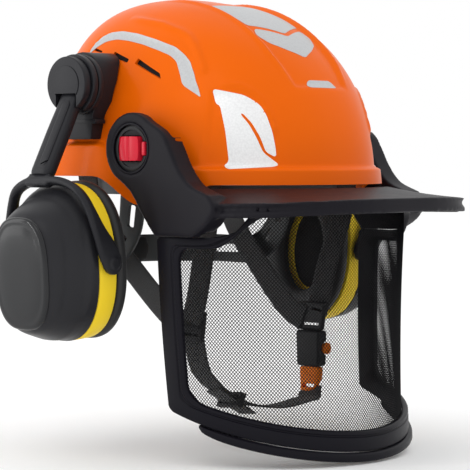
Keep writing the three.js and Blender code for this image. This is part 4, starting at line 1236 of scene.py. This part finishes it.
def muffYoke():
    top, slope, length = armLine()
    crown = top + slope * (length + yokePlan["thickness"] / 2 + 0.8)
    px, py, pz = cupPlan["pin"]
    reach = yokePlan["reach"]

    def limb(side):
        return [
            (px, py + side * reach, pz),
            (mixed(px, crown[0], 0.55), py + side * (reach - 0.8), mixed(pz, crown[2], 0.36)),
            (mixed(px, crown[0], 0.92), py + side * 0.74 * reach, mixed(pz, crown[2], 0.84)),
            (crown[0] - 0.5, py + side * 0.4 * reach, crown[2] - 1),
        ]

    path = smoothPath([*limb(1), crown, *limb(-1)[::-1]], 90)
    nearPin = 1 - ease(3, 24, np.minimum(np.arange(90), 89 - np.arange(90)))
    taper = np.stack([1.05 + 1.25 * nearPin, 0.98 - 0.2 * nearPin], axis=1)
    parts = [sweepPiece("arch", path, (1, 0, 0.4), yokePlan["width"], yokePlan["thickness"], 3, 20, taper)]
    for side in (1, -1):
        parts.append(addRod("boss", yokePlan["boss"], 4.8, (px, py + side * reach, pz), "Y", 40))
        parts.append(addRod("pin", yokePlan["pin"] - 0.1, 10, (px, py + side * (reach - 5), pz), "Y", 24))
        parts.append(addRod("ring", 4.2, 1.2, (px, py + side * (reach + 2.9), pz), "Y", 32))
    parts.append(addBox("shoulder", (0, 0, 0), (6.2, 22, 9)))
    parts[-1].data.transform(Matrix.Rotation(-math.radians(muffArmPlan["flareDeg"]), 4, "Y"))
    parts[-1].data.transform(Matrix.Translation(Vector(crown - slope * 0.2) * mm))
    yoke = mouldTogether(gather("yoke", parts), 0.95, 4)
    stem = addBox("stem", (0, 0, 12), (4.4, 9.8, 30))
    stem.data.transform(Matrix.Rotation(-math.radians(muffArmPlan["flareDeg"]), 4, "Y"))
    stem.data.transform(Matrix.Translation(Vector(top + slope * length) * mm))
    yoke = gather("muffYokeLeft", [yoke, roundEdges(stem, 0.4, 2)])
    return finishPair(yoke, "muff_yoke_{side}", "muffBlack", ["muff_yoke_{side}"], 60)


def cupProfile(count):
    table = np.array(cupStations, float)
    fine = smoothPath(table[:, :3], count)
    drop = np.interp(fine[:, 0], table[:, 0], table[:, 3])
    return np.column_stack([fine, drop])


def cupShell():
    start = cupPlan["bandHalf"] + cupPlan["gap"]
    profile = cupProfile(34)
    wide, high, wall = cupPlan["halfWidth"], cupPlan["halfHeight"], cupPlan["wall"]

    def ovals(stations, inset):
        rings = []
        for d, w, h, drop in stations:
            x = start + d * (cupPlan["depth"] - inset)
            rings.append(cupOval(x, w * wide - inset, h * high - inset, drop))
        return rings

    outer, inner = ovals(profile, 0), ovals(profile[::4], wall)
    lip = cupOval(start, wide - 0.8, high - 0.8, 0)
    outer[0][:, 0] += 0.6
    rings = [*inner[::-1], lip, *outer]
    cup = skinPiece("cupShellLeft", ontoCup(rings))
    mesh = cup.data
    # the side panels lie a little deeper than the rib between them and the face
    for vertex in mesh.vertices:
        z = vertex.co.z / mm + 60
        y = vertex.co.y / mm + 3
        out = (vertex.co.x / mm - 151) / 30
        hollow = ease(0.12, 0.3, out) * (1 - ease(0.72, 0.9, out)) * (1 - ease(22, 40, abs(z)))
        vertex.co.y -= math.copysign(1.3, y) * hollow * ease(20, 32, abs(y)) * mm
    return finishPair(cup, "muff_cup_{side}", "cupSatin", ["cup_shell_{side}"], 50)


def cupCover():
    start = cupPlan["bandHalf"] + cupPlan["gap"] * 2 + cupPlan["depth"]
    wide, high, drop = coverPlan["halfWidth"], coverPlan["halfHeight"], coverPlan["drop"]
    rings = []
    for x, shrink, power in coverPlan["steps"]:
        rings.append(cupOval(start + x, wide - shrink, high - shrink * 1.1, drop, power))
    cover = skinPiece("cupCoverLeft", ontoCup(rings))
    return finishPair(cover, "muff_cup_{side}", "cupGloss", ["cup_cover_{side}"], 40)


def cupRing():
    half, wall = cupPlan["bandHalf"], cupPlan["bandWall"]
    section = [(-half, 1.2), (-half + 0.5, 0.3), (-half + 1.6, 0), (half - 1.6, 0), (half - 0.5, 0.3)]
    section += [(half, 1.2), (half, wall), (-half + 1.6, wall), (-half + 1.6, wall + 1)]
    fullWidth, fullHeight = cupPlan["halfWidth"], cupPlan["halfHeight"]
    rings = [cupOval(x, fullWidth - inset, fullHeight - inset, 0) for x, inset in section]
    # the flange behind the cushion, down to the ear opening
    for x, wide, high in ((1.5, 18.6, 31.6), (0.6, 18.3, 31.3), (0, 18.8, 31.8)):
        rings.append(cupOval(x - half, wide, high, 0, 2.1))
    ring = hoopPiece("cupRingLeft", ontoCup(rings))
    return finishPair(ring, "muff_cup_{side}", "bandYellow", ["cup_ring_{side}"], 40)


cushionPlan = {"outer": (43, 58), "opening": (20.5, 33.5), "thickness": 12.6, "rows": 28, "wrinkle": 0.35}


# A puffed ring of soft foam under a thin skin, with a sewn seam near its outer edge and fine wrinkles at
# the opening.
def earCushion():
    back = -cupPlan["bandHalf"] - cupPlan["gap"]
    wide, high = cushionPlan["outer"]
    thick = cushionPlan["thickness"]
    openWide, openHigh = cushionPlan["opening"]
    outY, outZ = ovalRing(wide, high, cupPlan["power"], cupPlan["columns"])
    inY, inZ = ovalRing(openWide, openHigh, 2.0, cupPlan["columns"])
    angles = np.arange(cupPlan["columns"]) * 2 * np.pi / cupPlan["columns"]
    rings = []
    for row in range(cushionPlan["rows"]):
        a = 2 * np.pi * row / cushionPlan["rows"]
        share = 0.5 - 0.5 * signedPower(np.cos(a), 2 / 2.6)
        rise = 0.5 * signedPower(np.sin(a), 2 / 2.6)
        seam = 0.5 * math.exp(-(((share - 0.14) / 0.05) ** 2)) if rise < 0 else 0
        waves = np.sin(angles * 23) + 0.6 * np.sin(angles * 41 + 1)
        ripple = cushionPlan["wrinkle"] * share * waves * (rise < 0)
        x = back - thick / 2 + rise * (thick - 0.6) + seam + ripple * 0.6
        rings.append(np.stack([x, mixed(outY, inY, share), mixed(outZ, inZ, share)], axis=1))
    cushion = hoopPiece("earCushionLeft", ontoCup(rings))
    applyModifier(cushion, "SUBSURF", levels=1, render_levels=1)
    pair = finishPair(cushion, "muff_cup_{side}", "cushionSkin", ["ear_cushion_{side}"], 180)
    return pair


def foamInsert():
    rings = []
    low = -cupPlan["bandHalf"] + 2.2
    for x, inset in ((0, 14), (-0.1, 6), (0.3, 1.2), (1.2, 0.1), (6.8, 0.1), (7.8, 1.2), (8, 5)):
        rings.append(cupOval(low + x, 32.3 - inset, 47.3 - inset, 0))
    insert = skinPiece("foamInsertLeft", ontoCup(rings))
    pair = finishPair(insert, "muff_cup_{side}", "padFoam", ["foam_insert_{side}"], 60)
    return pair


def muffBracket():
    bracket = fromCad("muff_bracket_left", "muffBracketLeft", 1.3, 3)
    rail = addBox("rail", (112, 7, 46), (10.4, 30, 3.4))
    combine(bracket, roundEdges(rail, 0.6, 2), "UNION")
    return finishPair(bracket, "helmet", "muffBlack", ["muff_bracket_{side}"], 40)


muffBracket()
muffHub()
muffArm()
muffYoke()
cupShell()
cupCover()
cupRing()
earCushion()
foamInsert()
print("ear muffs ready")


# harness

strapPlan = {"width": 20, "thickness": 1.6}
frontStrapPath = [(76, -88, 20), (76, -83, -20), (71, -70, -68), (70.6, -65, -88), (71.4, -61, -101)]
rearStrapPath = [(77, 45, 20), (75.4, 35, -25), (70.3, 1, -64), (66, -35.5, -98), (65, -52, -106)]
chinPath = [
    (-65, -58, -108), (-65, -59, -118), (-61.6, -64, -140), (-37.4, -73.2, -160), (0, -77, -168),
    (37.4, -73.2, -166.6), (58, -64, -166), (64.5, -60, -161),
]
tailPlan = {"shares": (0.27, 0.36, 0.46), "drops": (2.6, 2.6, 6.5)}
dividerPlan = {"y": -58, "z": -104, "size": (4.5, 30, 22)}
bucklePlan = {
    "x": 68, "z": -129.3, "socket": (11, 24, 28), "button": 5.5, "faceX": 73.5,
    "tongue": (21, 7.6), "tongueZ": (-143.8, -150, -157, -163), "tongueX": (68, 68, 66.6, 63),
}


# Directions square to a path and to one other direction, or to one for each point.
def crossOf(path, other):
    across = np.cross(np.gradient(path, axis=0), other)
    return across / np.linalg.norm(across, axis=1, keepdims=True)


def strapPiece(name, path, across):
    return sweepPiece(name, path, across, strapPlan["width"], strapPlan["thickness"], 5, 24)


def sideStraps():
    frontPath = smoothPath(frontStrapPath, 60)
    rearPath = smoothPath(rearStrapPath, 70)
    front = strapPiece("frontStrapLeft", frontPath, (0, 1, 0))
    rear = strapPiece("rearStrapLeft", rearPath, crossOf(rearPath, (-1, 0, 0)))
    for strap, node in ((front, "front_strap_{side}"), (rear, "rear_strap_{side}")):
        finishPair(strap, "helmet", "webBlack", [node], 50)


# A three-way slider: two slots above for the straps, one below.
def strapDivider():
    y, z = dividerPlan["y"], dividerPlan["z"]
    plate = addBox("plate", (68, y, z), dividerPlan["size"])
    for vertex in plate.data.vertices:
        if vertex.co.z / mm < z:
            vertex.co.y = (y + (vertex.co.y / mm - y) * 0.8) * mm
    roundEdges(plate, 1.5, 4)
    for dy, dz, long, tilt in ((-7.2, 5.2, 10, 8), (7.4, 4.6, 10, -38), (0, -6.4, 18, 0)):
        slot = addBox("slot", (0, 0, 0), (20, long, 2.2))
        spin = Matrix.Rotation(math.radians(tilt), 4, "X")
        slot.data.transform(Matrix.Translation(Vector((68, y + dy, z + dz)) * mm) @ spin)
        combine(plate, slot, "DIFFERENCE")
    bar = roundEdges(addBox("bar", (70.2, y, z - 1), (1.6, 20, 4)), 0.6, 2)
    combine(plate, bar, "UNION")
    plate.name = "strapDividerLeft"
    return finishPair(plate, "helmet", "trimBlack", ["strap_divider_{side}"], 40)


# A place under the chin strap, "drop" millimetres off its middle.
def underChin(path, share, drop):
    index = share * (len(path) - 1)
    place = np.array([np.interp(index, range(len(path)), path[:, k]) for k in range(3)])
    ahead = np.gradient(path, axis=0)[round(index)]
    under = np.cross((0, 1, 0), ahead)
    return place + under / np.linalg.norm(under) * drop


def chinStrap():
    path = smoothPath(chinPath, 120)
    strap = strapPiece("chinStrap", path, (0, 1, 0))
    finishPiece(strap, "helmet", "webBlack", ["chin_strap"], 50)
    tailPath = smoothPath([underChin(path, a, b) for a, b in zip(tailPlan["shares"], tailPlan["drops"])], 30)
    tail = strapPiece("strapTail", tailPath, (0, 1, 0))
    finishPiece(tail, "helmet", "webBlack", ["strap_tail"], 50)
    keeper = fromCad("strap_keeper", "strapKeeper", 0.7, 3)
    finishPiece(keeper, "helmet", "trimBlack", ["strap_keeper"], 40)


# Side-release buckle with a sunken round button and a grip ridge at each side.
def chinBuckle():
    y, z = dividerPlan["y"], bucklePlan["z"]
    faceX = bucklePlan["faceX"]
    socket = addBox("buckleSocket", (bucklePlan["x"], y, z), bucklePlan["socket"])
    for vertex in socket.data.vertices:
        if vertex.co.z / mm < z:
            vertex.co.y = (y + (vertex.co.y / mm - y) * 0.92) * mm
    roundEdges(socket, 2.2, 4)
    rim = addRod("rim", bucklePlan["button"] + 1.7, 1.4, (faceX, y, z), sides=48)
    for holed in (socket, rim):
        combine(holed, addRod("hole", bucklePlan["button"] + 0.3, 12, (faceX, y, z), sides=48), "DIFFERENCE")
    combine(socket, rim, "UNION")
    for dx in (72.6, 71):
        combine(socket, addRod("notch", 5.1, 6, (dx, y - 11.6, z), "Y", 40), "DIFFERENCE")
    combine(socket, addBox("channel", (74, y - 7, z), (4, 14, 6)), "DIFFERENCE")
    for dz in (-10.5, 10.5):
        combine(socket, roundEdges(addBox("grip", (73.4, y, z + dz), (1.2, 15, 1.6)), 0.5, 2), "UNION")
    finishPiece(socket, "helmet", "trimBlack", ["buckle_socket"], 40)
    button = addRod("buckleButton", bucklePlan["button"], 4.4, (72.5, y, z), sides=48)
    face = addRod("face", 4.6, 3, (72.6, y - 11.4, z), "Y", 40)
    link = roundEdges(addBox("link", (74.6, y - 6, z), (1.2, 13, 5)), 0.4, 2)
    combine(button, roundEdges(face, 0.6, 3), "UNION")
    combine(button, link, "UNION")
    finishPiece(button, "buckle_button", "buckleOrange", ["buckle_button"], 40)
    path = smoothPath(list(zip(bucklePlan["tongueX"], (y, y, y, y - 1), bucklePlan["tongueZ"])), 24)
    run = np.linspace(0, 1, 24)
    tip = np.sqrt(np.clip((1.03 - run) / 0.12, 0.05, 1))
    wide = np.minimum(1, 0.86 + 4 * run) * (1 - 0.32 * ease(0.3, 1, run)) * tip
    taper = np.stack([wide, tip * (1 - 0.3 * run)], axis=1)
    tongue = sweepPiece("buckleTongue", path, (0, 1, 0), *bucklePlan["tongue"], 3.2, 28, taper)
    slot = addBox("slot", (66, y - 0.5, -158.4), (22, 12, 3))
    combine(tongue, roundEdges(slot, 1, 2), "DIFFERENCE")
    finishPiece(tongue, "helmet", "buckleOrange", ["buckle_tongue"], 40)


sideStraps()
strapDivider()
chinStrap()
chinBuckle()
print("harness ready")


# nape cradle

cradlePlan = {"width": 22, "thickness": 3, "backZ": -54}
cradleHalf = [(84, -14, -8), (83, -9, -33.3), (81, 8, -52), (72.2, 49, -54), (42, 81.9, -54)]
ratchetPlan = {
    "size": (46, 11, 30), "y": 96.3, "knobY": 108.1, "knobRadius": 16, "knobDepth": 11,
    "grips": 20, "gripAt": 16.6,
}


# The cradle's band, slotted in each side arm.
def napeCradle():
    path = smoothPath([*cradleHalf, (0, 89, -54), *[(-x, y, z) for x, y, z in cradleHalf[::-1]]], 150)
    outward = path * (1, 1, 0)
    across = crossOf(path, outward) * -1
    band = sweepPiece("napeCradle", path, across, cradlePlan["width"], cradlePlan["thickness"], 6, 24)
    for side in (1, -1):
        for y, z, long, tilt in ((-12.5, -24, 17, 80), (-1.5, -43, 12, 55), (38, -54, 22, 0)):
            slot = addBox("slot", (0, 0, 0), (24, long, 6.5))
            spin = Matrix.Rotation(math.radians(-tilt), 4, "X")
            slot.data.transform(Matrix.Translation(Vector((side * 82, y, z)) * mm) @ spin)
            combine(band, roundEdges(slot, 1.6, 3), "DIFFERENCE")
    finishPiece(band, "nape_cradle", "cradleGrey", ["nape_cradle"], 40)


def cradleHanger():
    path = smoothPath([(96, -14, 16), (88.8, -14, 3), (84, -14, -5)], 30)
    link = sweepPiece("cradleHangerLeft", path, (0, 1, 0), 18, 3, 5, 20)
    return finishPair(link, "helmet", "trimBlack", ["cradle_hanger_{side}"], 40)


def cradleParts():
    y, z = ratchetPlan["y"], cradlePlan["backZ"]
    housing = addBox("ratchetHousing", (0, y, z), ratchetPlan["size"])
    roundEdges(housing, 4, 5)
    finishPiece(housing, "nape_cradle", "trimBlack", ["ratchet_housing"], 40)
    knobY, gripAt = ratchetPlan["knobY"], ratchetPlan["gripAt"]
    knob = addRod("ratchetKnob", ratchetPlan["knobRadius"], ratchetPlan["knobDepth"], (0, knobY, z), "Y", 80)
    roundEdges(knob, 1.4, 3)
    for i in range(ratchetPlan["grips"]):
        turn = 2 * math.pi * i / ratchetPlan["grips"]
        place = (gripAt * math.cos(turn), knobY, z + gripAt * math.sin(turn))
        combine(knob, addRod("grip", 1.4, 20, place, "Y", 12), "DIFFERENCE")
    finishPiece(knob, "ratchet_knob", "trimBlack", ["ratchet_knob"], 40)


cradleHanger()
napeCradle()
cradleParts()
print("nape cradle ready")


# inside of the helmet

bandPlan = {"outer": (79, 118, 76), "thickness": 2.4, "low": -8, "high": 20, "steps": 160}


def planRing(reach, inset, z):
    steps = bandPlan["steps"]
    angles = np.arange(steps) * 2 * np.pi / steps
    x, y = planPoint(angles, *[length - inset for length in reach])
    return np.stack([x, y, np.full(steps, float(z))], axis=1)


def headbandRing():
    outer, wall = bandPlan["outer"], bandPlan["thickness"]
    low, high = bandPlan["low"], bandPlan["high"]
    section = [(0.3, low), (0, low + 0.4), (0, high - 0.4), (0.3, high)]
    section += [(wall - inset, z) for inset, z in section[::-1]]
    ring = hoopPiece("headband", [planRing(outer, inset, z) for inset, z in section])
    return finishPiece(ring, "helmet", "cradleGrey", ["headband"], 40)


puffPlan = {"pressure": 3, "limit": 2.5, "cell": 2.5, "frames": 12}


# Foam under a thin cover: puffs a copy of the piece with a short cloth run, capped to a few millimetres.
def puffed(node, name):
    pad = fromCad(node, name, 0)
    applyModifier(pad, "REMESH", mode="VOXEL", voxel_size=puffPlan["cell"] * mm)
    start = np.array([vertex.co for vertex in pad.data.vertices])
    cloth = pad.modifiers.new("Cloth", "CLOTH")
    cloth.settings.use_pressure = True
    cloth.settings.uniform_pressure_force = puffPlan["pressure"]
    cloth.settings.effector_weights.gravity = 0
    cloth.settings.quality = 5
    cloth.point_cache.frame_start = 1
    cloth.point_cache.frame_end = puffPlan["frames"]
    for step in range(1, puffPlan["frames"] + 1):
        bpy.context.scene.frame_set(step)
    activate(pad)
    bpy.ops.object.modifier_apply(modifier="Cloth")
    bpy.context.scene.frame_set(1)
    moved = np.array([vertex.co for vertex in pad.data.vertices]) - start
    far = np.linalg.norm(moved, axis=1, keepdims=True)
    moved *= np.minimum(1, puffPlan["limit"] * mm / np.maximum(far, 1e-9))
    pad.data.vertices.foreach_set("co", (start + moved).ravel())
    pad.data.update()
    applyModifier(pad, "SMOOTH", factor=0.5, iterations=2)
    applyModifier(pad, "SUBSURF", levels=1, render_levels=1)
    return pad


def softPads():
    for node, name, body, fill in (
        ("brow_pad", "browPad", "helmet", 0.8),
        ("crown_pad", "crownPad", "helmet", 0.75),
        ("nape_pad", "napePad", "nape_cradle", 0.8),
    ):
        pad = puffed(node, name)
        finishPiece(pad, body, "padFoam", [node], 180)


def impactLiner():
    inside = domeRings(-27, 96, 24, 24)[1:]
    outside = domeRings(-6, 96, 24, 24)[1:]
    liner = skinPiece("impactLiner", [*inside[::-1], *outside])
    for side in (1, -1):
        for cutter in ventCutters(side, 2):
            combine(liner, cutter, "DIFFERENCE")
    return finishPiece(liner, "helmet", "linerFoam", ["impact_liner"], 40)


impactLiner()
headbandRing()
softPads()
for node in ("vent_grille_left", "vent_grille_right"):
    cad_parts[node].data.materials.clear()
    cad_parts[node].data.materials.append(finishes["wireBlack"])
print("inside ready")
